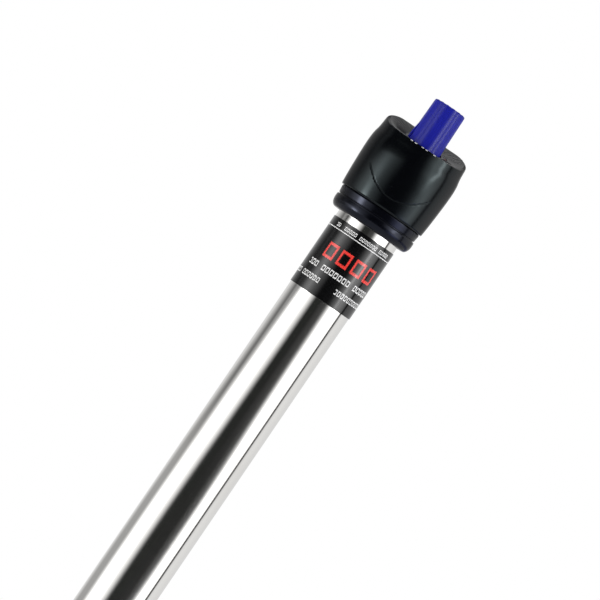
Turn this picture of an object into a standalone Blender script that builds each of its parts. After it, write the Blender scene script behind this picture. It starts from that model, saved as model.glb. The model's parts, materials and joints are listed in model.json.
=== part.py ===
"""Submersible aquarium heater: a sealed steel tube under a moulded black head.

The closed end of the tube stands on the origin and +Z runs up along the tube. The front of
the head, where the knob stands, faces -Y. Sizes are written in metres.
"""

import math

import bmesh
import bpy
from mathutils import Matrix, Vector

MM = 0.001

# Fits and facets
SEAT = 0.3 * MM  # gap between pieces that rest on, or turn in, each other
OVERCUT = 1.0 * MM  # how far a cutter runs past what it cuts
GROOVE_STAND = 0.35  # share of a groove cutter's radius that stands off the surface
LARGE_ROUND = 36  # facets round the tube and the head
MEDIUM_ROUND = 24  # facets round what fits inside them
SMALL_ROUND = 16  # facets round shafts, rings and contacts
TINY_ROUND = 12  # facets round rivets, leads and their holes
HEXAGON = 6
EDGE_POINTS = 3  # facets in the rounding of a small edge
WELD = 0.00001  # merge distance
PIVOT_MARK = 5.0 * MM  # drawn size of an empty that marks a joint's axis

# Tube and label
TUBE_RADIUS = 12.5 * MM
TUBE_WALL = 0.6 * MM
TUBE_EXPOSED = 338.0 * MM  # from the closed end to the foot of the head
TUBE_ENTRY_SHARE = 0.4  # share of the head's height that the tube goes into
TUBE_END_FILLET = 5.0 * MM
TUBE_END_POINTS = 5
LABEL_LENGTH = 28.3 * MM
LABEL_DROP = 2.6 * MM  # bare steel between head and label
LABEL_THICKNESS = 0.2 * MM
LABEL_AIR = 0.15 * MM

# Clamp nut at the foot of the head
NUT_HEIGHT = 8.3 * MM
NUT_FLOOR = 1.4 * MM
NUT_COLLAR_RADIUS = 16.5 * MM
NUT_FOOT_RADIUS = 14.6 * MM
NUT_COLLAR_HEIGHT = 4.9 * MM
NUT_FOOT_ROUND = 3.4 * MM  # height of the rounding under the collar
NUT_FOOT_RINGS = 4
NUT_EDGE = 0.25 * MM
NUT_BAND_RADIUS = 16.45 * MM
NUT_GROOVE_DEPTH = 0.7 * MM
NUT_GROOVE_WIDTH = 0.5 * MM
NUT_TONGUE_HEIGHT = 0.9 * MM  # ring on the nut that runs in a groove of the head
NUT_TONGUE_WIDTH = 1.3 * MM
GRIP_RIB_PITCH = math.radians(6.5)
GRIP_RIBS_PER_SIDE = 12
GRIP_CUT_RADIUS = 0.5 * MM
GRIP_CUT_POINTS = 6
WASHER_THICKNESS = 0.6 * MM
SEAL_THICKNESS = 1.4 * MM
SEAL_WIDTH = 0.9 * MM
SEAL_CHAMFER = 0.35 * MM

# Head housing
HEAD_HEIGHT = 40.0 * MM
BARREL_RADIUS = 18.23 * MM
BARREL_FOOT_RADIUS = 17.25 * MM
BARREL_FOOT_CHAMFER = 0.35 * MM
BARREL_TUCK = 4.6 * MM  # from the widest level up to the step under the collar
BARREL_RINGS = 6
STEP_HEIGHT = 1.3 * MM
STEP_BULGE = 0.08 * MM  # rounding of the step between barrel and collar
COLLAR_HEIGHT = 8.1 * MM
COLLAR_FOOT_RADIUS = 17.55 * MM
COLLAR_TOP_RADIUS = 17.2 * MM
SHOULDER_WIDTH = 4.6 * MM
SHOULDER_HEIGHT = 3.65 * MM
SHOULDER_RINGS = 5
BOSS_WALL = 1.2 * MM  # ring that the nut screws on
DECK_THICKNESS = 2.0 * MM
CAP_RIM = 1.5 * MM  # collar left outside the cap
CAP_DEPTH = 7.7 * MM  # from the flat top down to the cap's seat
CAP_SEAT_WIDTH = 1.8 * MM
SMILE_LOW = 12.7 * MM  # lowest point of the curved groove, over the foot of the head
SMILE_RISE = 42.0  # its rise per squared metre of width
SMILE_HALF_WIDTH = 13.0 * MM
SMILE_RADIUS = 0.55 * MM
SMILE_POINTS = 17

# Scooped top
SCOOP_CREASE = 4.0 * MM  # where the flat rear meets the scoop, along +Y
SCOOP_DROP = 5.5 * MM  # from the flat to the front edge
SCOOP_POINTS = 3 * LARGE_ROUND

# Knob and spindle
KNOB_OFFSET = 7.8 * MM  # in front of the tube's axis
KNOB_RADIUS = 6.4 * MM
KNOB_FLUTES = 14
KNOB_FLUTE_DEPTH = 0.3 * MM
KNOB_FLUTE_POINTS = 6
KNOB_HEIGHT = 18.0 * MM
KNOB_CHAMFER = 0.55 * MM
KNOB_SKIRT_WIDTH = 0.35 * MM
KNOB_SKIRT_HEIGHT = 1.4 * MM
KNOB_POCKET_DEPTH = 0.4 * MM  # below the front edge of the scoop
POINTER_REACH = 0.65 * MM
POINTER_ROOT = 1.28 * MM  # how far it starts inside the knob's side
POINTER_HEIGHT = 3.6 * MM
POINTER_WIDTH = 2.0 * MM
POINTER_ANGLE = math.radians(186.0)
SHAFT_RADIUS = 2.0 * MM
SHAFT_FLAT = 1.3 * MM  # axis to the flat that drives the knob
SHAFT_SOCKET = 10.5 * MM  # how far the spindle enters the knob
SHAFT_DRIVE_RADIUS = 2.7 * MM
SHAFT_DRIVE_LENGTH = 6.0 * MM
SHAFT_SLOT_DEPTH = 4.5 * MM
BEARING_BOSS_WALL = 1.3 * MM
BEARING_BOSS_AIR = 2.4 * MM  # between the boss and the deck
BEARING_LENGTH = 4.0 * MM
ORING_THICKNESS = 1.4 * MM
ORING_POINTS = 8
CLIP_THICKNESS = 0.4 * MM
CLIP_RADIUS = 4.4 * MM
CLIP_GROOVE_DEPTH = 0.55 * MM

# Cord inlet and indicator
INLET_MARGIN = 3.6 * MM  # from its axis to the rear edge of the flat top
INLET_BORE_RADIUS = 3.2 * MM
INLET_WALL = 0.9 * MM
INLET_FLANGE_WIDTH = 0.6 * MM
INLET_FLANGE_HEIGHT = 1.4 * MM
INLET_DEPTH = 9.0 * MM
LENS_X = 8.6 * MM
LENS_Y = -5.9 * MM
LENS_RADIUS = 0.8 * MM
LENS_POINT = 0.27 * MM  # height of its pointed top
LENS_FLANGE_RADIUS = 1.5 * MM
LENS_FLANGE_HEIGHT = 1.0 * MM
LENS_TAIL = 0.6 * MM
LAMP_RADIUS = 1.6 * MM
LAMP_DOME_POINTS = 4
RESISTOR_RADIUS = 1.1 * MM
RESISTOR_LENGTH = 6.4 * MM
RESISTOR_WAIST = 0.88 * MM  # radius between its swollen ends
RESISTOR_SWELLING = 0.96 * MM  # half the length of a swollen end
RESISTOR_X = 6.8 * MM
RESISTOR_Y = 1.0 * MM

# Stopper in the mouth of the tube
PLUG_LENGTH = 12.0 * MM
PLUG_FLANGE = 2.0 * MM
PLUG_RIB_DEPTH = 0.5 * MM
PLUG_RIBS = 3
PLUG_RIB_SLOPE = 0.2  # share of a gap between ribs that slopes, at each side
LEAD_HOLE_RADIUS = 3.0 * MM
LEAD_HOLE_Y = 2.2 * MM
DECK_HOLE_RADIUS = 4.0 * MM
DECK_HOLE_Y = 5.5 * MM

# Thermostat, depths counted down from the foot of the head
FRAME_THICKNESS = 0.8 * MM
FRAME_WIDTH = 13.0 * MM
FRAME_BEND = 1.3 * MM  # bevel on the outside of the bend
FRAME_AIR = 0.4 * MM  # between the frame's corners and the tube
SPINE_Y = 6.1 * MM
SHELF_DEPTH = 12.4 * MM
SPINE_FOOT_DEPTH = 62.0 * MM
SCREW_RADIUS = 1.7 * MM
SCREW_NUT_WALL = 0.6 * MM
SCREW_NUT_FLANGE_RADIUS = 3.6 * MM
SCREW_NUT_FLANGE = 0.7 * MM
SCREW_NUT_LENGTH = 3.5 * MM
SCREW_TIP_DEPTH = 15.7 * MM
SCREW_TIP_RADIUS = 0.7 * MM
SCREW_TIP_TAPER = 0.8 * MM  # height of the taper above the tip
SCREW_TANG = 0.8 * MM
SCREW_TANG_LENGTH = 4.2 * MM
LEVER_THICKNESS = 0.5 * MM
LEVER_WIDTH = 5.0 * MM
LEVER_REACH = 2.2 * MM  # tab beyond the screw's axis
LEVER_AIR = 0.45 * MM  # between the screw's tip and the tab, which swings up towards it
LEVER_FOOT_DEPTH = 43.5 * MM
PIVOT_DEPTH = 22.5 * MM
BLOCK_HEIGHT = 7.2 * MM
BLOCK_WIDTH = 10.0 * MM
BLOCK_FRONT_Y = -2.4 * MM
BLOCK_ROUND = 0.4 * MM
STRIP_THICKNESS = 0.6 * MM
STRIP_WIDTH = 5.0 * MM
STRIP_Y = 1.9 * MM
STRIP_ROOT = 2.5 * MM  # above its pivot
STRIP_FOOT_DEPTH = 42.0 * MM
RIVET_SPREAD = 1.9 * MM  # above and below the pivot
RIVET_RADIUS = 0.7 * MM
RIVET_HEAD_RADIUS = 1.3 * MM
RIVET_HEAD = 0.6 * MM
CONTACT_DEPTH = 37.0 * MM
CONTACT_OPENING = 0.5 * MM
CONTACT_RADIUS = 1.6 * MM
CONTACT_HEAD = 1.0 * MM
CONTACT_CHAMFER = 0.3 * MM
CONTACT_STEM_RADIUS = 0.6 * MM
CONTACT_TAIL_RADIUS = 1.1 * MM
CONTACT_TAIL = 0.5 * MM
MAGNET_SIZE = (4.0 * MM, 1.8 * MM, 3.4 * MM)
MAGNET_DEPTH = 41.4 * MM
MAGNET_ROUND = 0.3 * MM
CAPACITOR_SIZE = (10.0 * MM, 4.0 * MM, 10.5 * MM)
CAPACITOR_DROP = 3.25 * MM  # below the foot of the bimetal strip
CAPACITOR_ROUND = 0.8 * MM
FUSE_RADIUS = 2.0 * MM
FUSE_LENGTH = 10.0 * MM
FUSE_NECK_RADIUS = 1.0 * MM
FUSE_DEPTH = 35.0 * MM

# Heating element, heights counted from the closed end
SPACER_THICKNESS = 4.0 * MM
SPACER_AIR = 0.4 * MM
SPACER_EDGE = 0.6 * MM
CORE_RADIUS = 6.4 * MM
CORE_FLUTES = 6
CORE_FLUTE_DEPTH = 0.7 * MM
CORE_POINTS = 48
ROD_RADIUS = 1.5 * MM
ROD_NUT_RADIUS = 2.9 * MM
ROD_NUT_HEIGHT = 2.4 * MM
ROD_END = 1.2 * MM
COIL_WIRE_RADIUS = 0.45 * MM
COIL_TURNS = 16
COIL_POINTS_PER_TURN = 10
COIL_MARGIN = 12.0 * MM  # bare core at each end
PAD_TOP = 17.7 * MM
PAD_POCKET_RADIUS = 5.0 * MM
PAD_POCKET_FLOOR = 11.0 * MM
LEAD_RADIUS = 0.5 * MM
LIVE_LEAD_X = 0.0
LIVE_LEAD_Y = 8.8 * MM
NEUTRAL_LEAD_X = -9.2 * MM
NEUTRAL_LEAD_Y = 2.0 * MM
CRIMP_WALL = 0.35 * MM
CRIMP_LENGTH = 4.0 * MM

# Levels and radii that follow from the sizes above
FOOT = TUBE_EXPOSED
TUBE_BORE = TUBE_RADIUS - TUBE_WALL
TUBE_TOP = FOOT + TUBE_ENTRY_SHARE * HEAD_HEIGHT
SOCKET_RADIUS = TUBE_RADIUS + SEAT
BOSS_RADIUS = SOCKET_RADIUS + BOSS_WALL
NUT_BORE_RADIUS = BOSS_RADIUS + SEAT
NUT_TOP = FOOT + NUT_HEIGHT
WASHER_FOOT = FOOT + NUT_FLOOR + SEAT
SEAL_FOOT = WASHER_FOOT + WASHER_THICKNESS + SEAT
BOSS_FOOT = SEAL_FOOT + SEAL_THICKNESS + SEAT
PLUG_TOP = TUBE_TOP + SEAT + PLUG_FLANGE
DECK_FOOT = PLUG_TOP + SEAT
DECK_TOP = DECK_FOOT + DECK_THICKNESS
HEAD_TOP = FOOT + HEAD_HEIGHT
COLLAR_FOOT = HEAD_HEIGHT - COLLAR_HEIGHT
BARREL_TOP = COLLAR_FOOT - STEP_HEIGHT
BARREL_WIDEST = BARREL_TOP - BARREL_TUCK
FLAT_RADIUS = COLLAR_TOP_RADIUS - SHOULDER_WIDTH
CAP_RADIUS = COLLAR_TOP_RADIUS - CAP_RIM
CAP_BORE_RADIUS = CAP_RADIUS + SEAT
CAVITY_RADIUS = CAP_BORE_RADIUS - CAP_SEAT_WIDTH
CAP_LEDGE = HEAD_TOP - CAP_DEPTH
CAP_FOOT = CAP_LEDGE + SEAT
INLET_OFFSET = FLAT_RADIUS - INLET_MARGIN
SCOOP_FRONT = HEAD_TOP - SCOOP_DROP
SCOOP_RUN = COLLAR_TOP_RADIUS + SCOOP_CREASE
SCOOP_RADIUS = (SCOOP_RUN**2 + SCOOP_DROP**2) / (2 * SCOOP_DROP)
KNOB_POCKET_RADIUS = KNOB_RADIUS + POINTER_REACH + SEAT
KNOB_POCKET_FLOOR = SCOOP_FRONT - KNOB_POCKET_DEPTH
KNOB_FOOT = KNOB_POCKET_FLOOR + SEAT
SHAFT_BORE_RADIUS = SHAFT_RADIUS + SEAT
SHAFT_TOP = KNOB_FOOT + SHAFT_SOCKET
ORING_BORE_RADIUS = SHAFT_BORE_RADIUS + ORING_THICKNESS + SEAT
BEARING_BOSS_FOOT = DECK_TOP + BEARING_BOSS_AIR
BEARING_FOOT = BEARING_BOSS_FOOT + SEAT
BEARING_TOP = BEARING_FOOT + BEARING_LENGTH
ORING_BORE_TOP = BEARING_TOP + 2 * ORING_THICKNESS + 3 * SEAT
CLIP_TOP = BEARING_BOSS_FOOT - SEAT
PLUG_FOOT = TUBE_TOP - PLUG_LENGTH
FRAME_TOP = PLUG_FOOT - SEAT
SHELF = FOOT - SHELF_DEPTH
SCREW_NUT_TOP = SHELF + FRAME_THICKNESS / 2 + SEAT + SCREW_NUT_FLANGE
SCREW_TIP = FOOT - SCREW_TIP_DEPTH
SCREW_HEAD = SCREW_NUT_TOP + SEAT
SCREW_TOP = SCREW_HEAD + SCREW_TANG_LENGTH
SCREW_NECK = SCREW_HEAD + SEAT
SHAFT_FOOT = SCREW_NECK + 2 * SEAT
LEVER_Y = BLOCK_FRONT_Y - SEAT - LEVER_THICKNESS / 2
LEVER_TOP = SCREW_TIP - LEVER_AIR
PIVOT = FOOT - PIVOT_DEPTH
CONTACT_LEVEL = FOOT - CONTACT_DEPTH
SPINE_FRONT_Y = SPINE_Y - FRAME_THICKNESS / 2
SPINE_BACK_Y = SPINE_Y + FRAME_THICKNESS / 2
SPINE_FOOT = FOOT - SPINE_FOOT_DEPTH
UPPER_SPACER_TOP = SPINE_FOOT - SEAT
UPPER_SPACER_FOOT = UPPER_SPACER_TOP - SPACER_THICKNESS
CORE_TOP = UPPER_SPACER_FOOT - SEAT
LOWER_SPACER_FOOT = PAD_TOP + SEAT
LOWER_SPACER_TOP = LOWER_SPACER_FOOT + SPACER_THICKNESS
CORE_FOOT = LOWER_SPACER_TOP + SEAT
COIL_RADIUS = (CORE_RADIUS + SEAT + COIL_WIRE_RADIUS) / math.cos(math.pi / COIL_POINTS_PER_TURN)
COIL_TOP = CORE_TOP - COIL_MARGIN
COIL_FOOT = CORE_FOOT + COIL_MARGIN


def clear_scene():
    """Removes every object that the file holds."""
    for old in list(bpy.data.objects):
        bpy.data.objects.remove(old, do_unlink=True)


def new_collection(name):
    """Adds a collection to the scene."""
    group = bpy.data.collections.new(name)
    bpy.context.scene.collection.children.link(group)
    return group


clear_scene()
PARTS = new_collection("submersible_heater")
CUTTERS = new_collection("cutters")


def material(name, colour, roughness, metallic=0.0):
    """Makes a plain Principled material, or returns the one already made."""
    made = bpy.data.materials.get(name)
    if made:
        return made
    made = bpy.data.materials.new(name)
    made.use_nodes = True
    shader = made.node_tree.nodes["Principled BSDF"]
    shader.inputs["Base Color"].default_value = (*colour, 1.0)
    shader.inputs["Roughness"].default_value = roughness
    shader.inputs["Metallic"].default_value = metallic
    return made


def gloss_black():
    return material("gloss_black_plastic", (0.012, 0.013, 0.016), 0.22)


def knob_blue():
    return material("blue_plastic", (0.02, 0.02, 0.36), 0.35)


def polished_steel():
    return material("polished_steel", (0.78, 0.77, 0.74), 0.12, 1.0)


def plated_steel():
    return material("plated_steel", (0.62, 0.62, 0.60), 0.35, 1.0)


def brass():
    return material("brass", (0.72, 0.52, 0.22), 0.3, 1.0)


def silver():
    return material("silver_contact", (0.85, 0.84, 0.80), 0.25, 1.0)


def label_black():
    return material("label_film", (0.010, 0.010, 0.011), 0.18)


def seal_rubber():
    return material("seal_rubber", (0.03, 0.03, 0.03), 0.7)


def stopper_rubber():
    return material("stopper_rubber", (0.55, 0.16, 0.10), 0.65)


def ceramic():
    return material("ceramic", (0.82, 0.79, 0.72), 0.6)


def resistance_wire():
    return material("resistance_wire", (0.30, 0.29, 0.28), 0.45, 1.0)


def bearing_plastic():
    return material("bearing_plastic", (0.75, 0.74, 0.68), 0.45)


def lead_sleeve():
    return material("lead_sleeve", (0.62, 0.10, 0.08), 0.5)


def amber_resin():
    return material("amber_resin", (0.55, 0.24, 0.05), 0.35)


def magnet_dark():
    return material("magnet", (0.16, 0.16, 0.17), 0.5, 0.6)


def clear_red():
    return material("red_lens", (0.30, 0.02, 0.02), 0.15)


def phenolic():
    return material("phenolic", (0.28, 0.12, 0.05), 0.5)


def add_piece(name, mesh, look, at=(0.0, 0.0, 0.0)):
    """Links a mesh as a piece of the heater, with its material and smooth sides."""
    piece = bpy.data.objects.new(name, mesh)
    piece.location = at
    mesh.materials.append(look)
    PARTS.objects.link(piece)
    if mesh.polygons:
        mesh.shade_smooth()
        mesh.set_sharp_from_angle(angle=math.radians(35.0))
    return piece


def add_cutter(name, mesh, at=(0.0, 0.0, 0.0)):
    """Links a mesh as a cutter, which is never part of the heater."""
    cutter = bpy.data.objects.new(name, mesh)
    cutter.location = at
    cutter.hide_render = True
    cutter.display_type = "WIRE"
    CUTTERS.objects.link(cutter)
    return cutter


def combine(piece, cutter, operation="DIFFERENCE"):
    """Cuts a piece by a cutter, or joins or trims it with one."""
    step = piece.modifiers.new(f"{operation.lower()}_{cutter.name}", "BOOLEAN")
    step.operation = operation
    step.object = cutter
    step.solver = "EXACT"


def cylinder_mesh(name, radius, low, high, sides=SMALL_ROUND):
    """An upright cylinder between two heights."""
    mesh = bpy.data.meshes.new(name)
    shape = bmesh.new()
    place = Matrix.Translation((0.0, 0.0, (low + high) / 2))
    bmesh.ops.create_cone(
        shape, cap_ends=True, segments=sides, radius1=radius, radius2=radius,
        depth=high - low, matrix=place,
    )
    shape.to_mesh(mesh)
    shape.free()
    return mesh


def box_mesh(name, low, high, chamfer=0.0):
    """A box between two corners, with its edges chamfered where asked."""
    size = Vector(high) - Vector(low)
    middle = (Vector(high) + Vector(low)) / 2
    mesh = bpy.data.meshes.new(name)
    shape = bmesh.new()
    place = Matrix.Translation(middle) @ Matrix.Diagonal((*size, 1.0))
    bmesh.ops.create_cube(shape, size=1.0, matrix=place)
    if chamfer > 0.0:
        bmesh.ops.bevel(shape, geom=shape.edges[:], offset=chamfer, segments=1, affect="EDGES")
    shape.to_mesh(mesh)
    shape.free()
    return mesh


def turned_piece(name, profile, look, sides=LARGE_ROUND, at=(0.0, 0.0, 0.0), ring=False):
    """Turns an (r, z) profile about Z. A solid's profile starts and ends on the axis, and a
    ring's closes on itself. Both run down their outer side."""
    mesh = bpy.data.meshes.new(name)
    points = [(r, 0.0, z) for r, z in profile]
    links = [(i, i + 1) for i in range(len(points) - 1)]
    if ring:
        links.append((len(points) - 1, 0))
    mesh.from_pydata(points, links, [])
    piece = add_piece(name, mesh, look, at)
    turn = piece.modifiers.new("turn", "SCREW")
    turn.axis = "Z"
    turn.angle = 2 * math.pi
    turn.steps = sides
    turn.render_steps = sides
    turn.use_merge_vertices = True
    turn.merge_threshold = WELD
    turn.use_smooth_shade = True
    return piece


def curve_mesh(name, curve_data, turn=None):
    """Turns a filled or bevelled curve into a closed mesh."""
    guide = bpy.data.objects.new(f"{name}_curve", curve_data)
    bpy.context.scene.collection.objects.link(guide)
    bpy.context.view_layer.update()
    graph = bpy.context.evaluated_depsgraph_get()
    mesh = bpy.data.meshes.new_from_object(guide.evaluated_get(graph))
    bpy.data.objects.remove(guide, do_unlink=True)
    mesh.name = name
    mesh.materials.clear()
    shape = bmesh.new()
    shape.from_mesh(mesh)
    bmesh.ops.remove_doubles(shape, verts=shape.verts, dist=WELD)
    if turn:
        bmesh.ops.transform(shape, matrix=turn, verts=shape.verts)
    bmesh.ops.recalc_face_normals(shape, faces=shape.faces)
    shape.to_mesh(mesh)
    shape.free()
    return mesh


def poly_curve(name, points, closed):
    """A straight-edged 3D or flat curve through the points."""
    data = bpy.data.curves.new(name, "CURVE")
    line = data.splines.new("POLY")
    line.points.add(len(points) - 1)
    for spot, point in zip(line.points, points):
        spot.co = (*point, 1.0)
    line.use_cyclic_u = closed
    return data


def outline_mesh(name, outline, low, high, turn=None):
    """A flat outline given thickness from low to high along its normal."""
    data = poly_curve(name, [(x, y, 0.0) for x, y in outline], closed=True)
    data.dimensions = "2D"
    data.fill_mode = "BOTH"
    data.extrude = (high - low) / 2
    lift = Matrix.Translation((0.0, 0.0, (high + low) / 2))
    return curve_mesh(name, data, (turn or Matrix.Identity(4)) @ lift)


def side_outline_mesh(name, outline, width):
    """A (y, z) outline seen from the side, with the same width each way along X."""
    from_side = Matrix(((0, 0, 1, 0), (1, 0, 0, 0), (0, 1, 0, 0), (0, 0, 0, 1)))
    return outline_mesh(name, outline, -width / 2, width / 2, from_side)


def wire_mesh(name, points, radius, resolution=1):
    """A round wire through the points, with closed ends."""
    data = poly_curve(name, points, closed=False)
    data.dimensions = "3D"
    data.bevel_depth = radius
    data.bevel_resolution = resolution
    data.use_fill_caps = True
    return curve_mesh(name, data)


def hang_on_pivot(name, place, pieces):
    """Parents pieces to an empty that stands on their joint's axis."""
    pivot = bpy.data.objects.new(name, None)
    pivot.location = place
    pivot.empty_display_size = PIVOT_MARK
    PARTS.objects.link(pivot)
    for piece in pieces:
        piece.parent = pivot
        piece.matrix_parent_inverse = Matrix.Translation(-Vector(place))


def arc(centre, radius, start, end, steps):
    """Points (r, z) along an arc, angles in degrees from +r."""
    turns = [math.radians(start + (end - start) * i / steps) for i in range(steps + 1)]
    return [(centre[0] + radius * math.cos(a), centre[1] + radius * math.sin(a)) for a in turns]


# Tube, label and foot of the head


def heater_tube():
    """Drawn steel tube, open at the top, with a flat end and a rounded edge."""
    outer = arc((TUBE_RADIUS - TUBE_END_FILLET, TUBE_END_FILLET), TUBE_END_FILLET, 0, -90, TUBE_END_POINTS)
    inner_fillet = TUBE_END_FILLET - TUBE_WALL
    inner = arc((TUBE_BORE - inner_fillet, TUBE_END_FILLET), inner_fillet, -90, 0, EDGE_POINTS)
    profile = [(0.0, TUBE_WALL), *inner, (TUBE_BORE, TUBE_TOP), (TUBE_RADIUS, TUBE_TOP), *outer, (0.0, 0.0)]
    return turned_piece("heater_tube", profile, polished_steel())


def label_sleeve():
    """Thin printed film shrunk round the tube under the head."""
    top = FOOT - LABEL_DROP
    inside = TUBE_RADIUS + LABEL_AIR
    outside = inside + LABEL_THICKNESS
    profile = [(inside, top), (outside, top), (outside, top - LABEL_LENGTH), (inside, top - LABEL_LENGTH)]
    return turned_piece("label_sleeve", profile, label_black(), ring=True)


def grip_cuts():
    """Small upright cylinders that cut the finger grooves into both sides of the nut."""
    mesh = bpy.data.meshes.new("grip_cuts")
    shape = bmesh.new()
    low = FOOT + NUT_COLLAR_HEIGHT + 2 * NUT_GROOVE_WIDTH
    high = NUT_TOP + GRIP_CUT_RADIUS
    for side in (0.0, math.pi):
        for i in range(GRIP_RIBS_PER_SIDE):
            turn = side + (i - (GRIP_RIBS_PER_SIDE - 1) / 2) * GRIP_RIB_PITCH
            radius = NUT_BAND_RADIUS + GROOVE_STAND * GRIP_CUT_RADIUS
            spot = (radius * math.cos(turn), radius * math.sin(turn), (low + high) / 2)
            bmesh.ops.create_cone(
                shape, cap_ends=True, segments=GRIP_CUT_POINTS, radius1=GRIP_CUT_RADIUS,
                radius2=GRIP_CUT_RADIUS, depth=high - low, matrix=Matrix.Translation(spot),
            )
    shape.to_mesh(mesh)
    shape.free()
    return add_cutter("grip_cuts", mesh)


def gland_nut():
    """Clamp nut with a rounded collar, a groove and a grip band above it."""
    collar = FOOT + NUT_COLLAR_HEIGHT
    bulge = NUT_COLLAR_RADIUS - NUT_FOOT_RADIUS
    foot = [
        (NUT_FOOT_RADIUS + bulge * math.sin(a), FOOT + NUT_FOOT_ROUND * (1 - math.cos(a)))
        for a in (math.pi / 2 * i / NUT_FOOT_RINGS for i in range(NUT_FOOT_RINGS, -1, -1))
    ]
    groove = NUT_BAND_RADIUS - NUT_GROOVE_DEPTH
    tongue = NUT_BORE_RADIUS + NUT_TONGUE_WIDTH
    profile = [
        (NUT_BORE_RADIUS, NUT_TOP + NUT_TONGUE_HEIGHT),
        (tongue, NUT_TOP + NUT_TONGUE_HEIGHT),
        (tongue, NUT_TOP),
        (NUT_BAND_RADIUS, NUT_TOP),
        (NUT_BAND_RADIUS - NUT_EDGE, collar + 2 * NUT_GROOVE_WIDTH),
        (groove, collar + NUT_GROOVE_WIDTH),
        (groove, collar),
        (NUT_COLLAR_RADIUS - NUT_EDGE, collar - NUT_GROOVE_WIDTH),
        *foot,
        (SOCKET_RADIUS, FOOT),
        (SOCKET_RADIUS, FOOT + NUT_FLOOR),
        (NUT_BORE_RADIUS, FOOT + NUT_FLOOR),
    ]
    nut = turned_piece("gland_nut", profile, gloss_black(), ring=True)
    combine(nut, grip_cuts())
    return nut


def ring_piece(name, inner, outer, low, high, look, sides=MEDIUM_ROUND, at=(0.0, 0.0, 0.0)):
    """A plain flat ring."""
    profile = [(inner, high), (outer, high), (outer, low), (inner, low)]
    return turned_piece(name, profile, look, sides, at, ring=True)


def slip_washer():
    """Ring that lets the nut turn without dragging the seal."""
    outer = SOCKET_RADIUS + SEAL_WIDTH
    top = WASHER_FOOT + WASHER_THICKNESS
    return ring_piece("slip_washer", SOCKET_RADIUS, outer, WASHER_FOOT, top, bearing_plastic())


def tube_seal():
    """Rubber ring that the nut squeezes against the tube."""
    outer = SOCKET_RADIUS + SEAL_WIDTH
    top = SEAL_FOOT + SEAL_THICKNESS
    profile = [
        (SOCKET_RADIUS, top),
        (outer - SEAL_CHAMFER, top),
        (outer, top - SEAL_CHAMFER),
        (outer, SEAL_FOOT + SEAL_CHAMFER),
        (outer - SEAL_CHAMFER, SEAL_FOOT),
        (SOCKET_RADIUS, SEAL_FOOT),
    ]
    return turned_piece("tube_seal", profile, seal_rubber(), MEDIUM_ROUND, ring=True)


# Head


def shoulder(start_radius):
    """Rounded shoulder of the head, from a radius on it down to the collar."""
    inset = (start_radius - FLAT_RADIUS) / SHOULDER_WIDTH
    first = math.asin(min(1.0, inset))
    turns = [first + (math.pi / 2 - first) * i / SHOULDER_RINGS for i in range(SHOULDER_RINGS + 1)]
    foot = HEAD_TOP - SHOULDER_HEIGHT
    return [(FLAT_RADIUS + SHOULDER_WIDTH * math.sin(a), foot + SHOULDER_HEIGHT * math.cos(a)) for a in turns]


def barrel_radius(height):
    """Radius of the bulging side at a height over the foot of the head."""
    foot = NUT_HEIGHT + SEAT + BARREL_FOOT_CHAMFER
    bulge = (BARREL_RADIUS - BARREL_FOOT_RADIUS) / (BARREL_WIDEST - foot) ** 2
    return BARREL_RADIUS - bulge * (BARREL_WIDEST - height) ** 2


def barrel_side():
    """Points down the side of the head, from under the collar to its lower edge."""
    foot = NUT_HEIGHT + SEAT + BARREL_FOOT_CHAMFER
    levels = [BARREL_TOP + (foot - BARREL_TOP) * i / BARREL_RINGS for i in range(BARREL_RINGS + 1)]
    return [(barrel_radius(h), FOOT + h) for h in levels]


def scoop_cutter():
    """Large cylinder lying across the head that hollows the front of its top."""
    level = SCOOP_FRONT + SCOOP_RADIUS
    mesh = cylinder_mesh("scoop", SCOOP_RADIUS, -2 * BARREL_RADIUS, 2 * BARREL_RADIUS, SCOOP_POINTS)
    mesh.transform(Matrix.Rotation(math.pi / 2, 4, "Y"))
    return add_cutter("scoop", mesh, (0.0, -COLLAR_TOP_RADIUS, level))


def smile_groove():
    """Curved groove across the front of the head."""
    points = []
    for i in range(SMILE_POINTS):
        across = SMILE_HALF_WIDTH * (2 * i / (SMILE_POINTS - 1) - 1)
        height = SMILE_LOW + SMILE_RISE * across**2
        radius = barrel_radius(height) + GROOVE_STAND * SMILE_RADIUS
        points.append((across, -math.sqrt(radius**2 - across**2), FOOT + height))
    return add_cutter("smile_groove", wire_mesh("smile_groove", points, SMILE_RADIUS))


def bore_cutter(name, radius, low, high, at, sides=SMALL_ROUND):
    """An upright round cutter at a place (x, y), for a hole or a boss."""
    return add_cutter(name, cylinder_mesh(name, radius, low, high, sides), (*at, 0.0))


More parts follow.
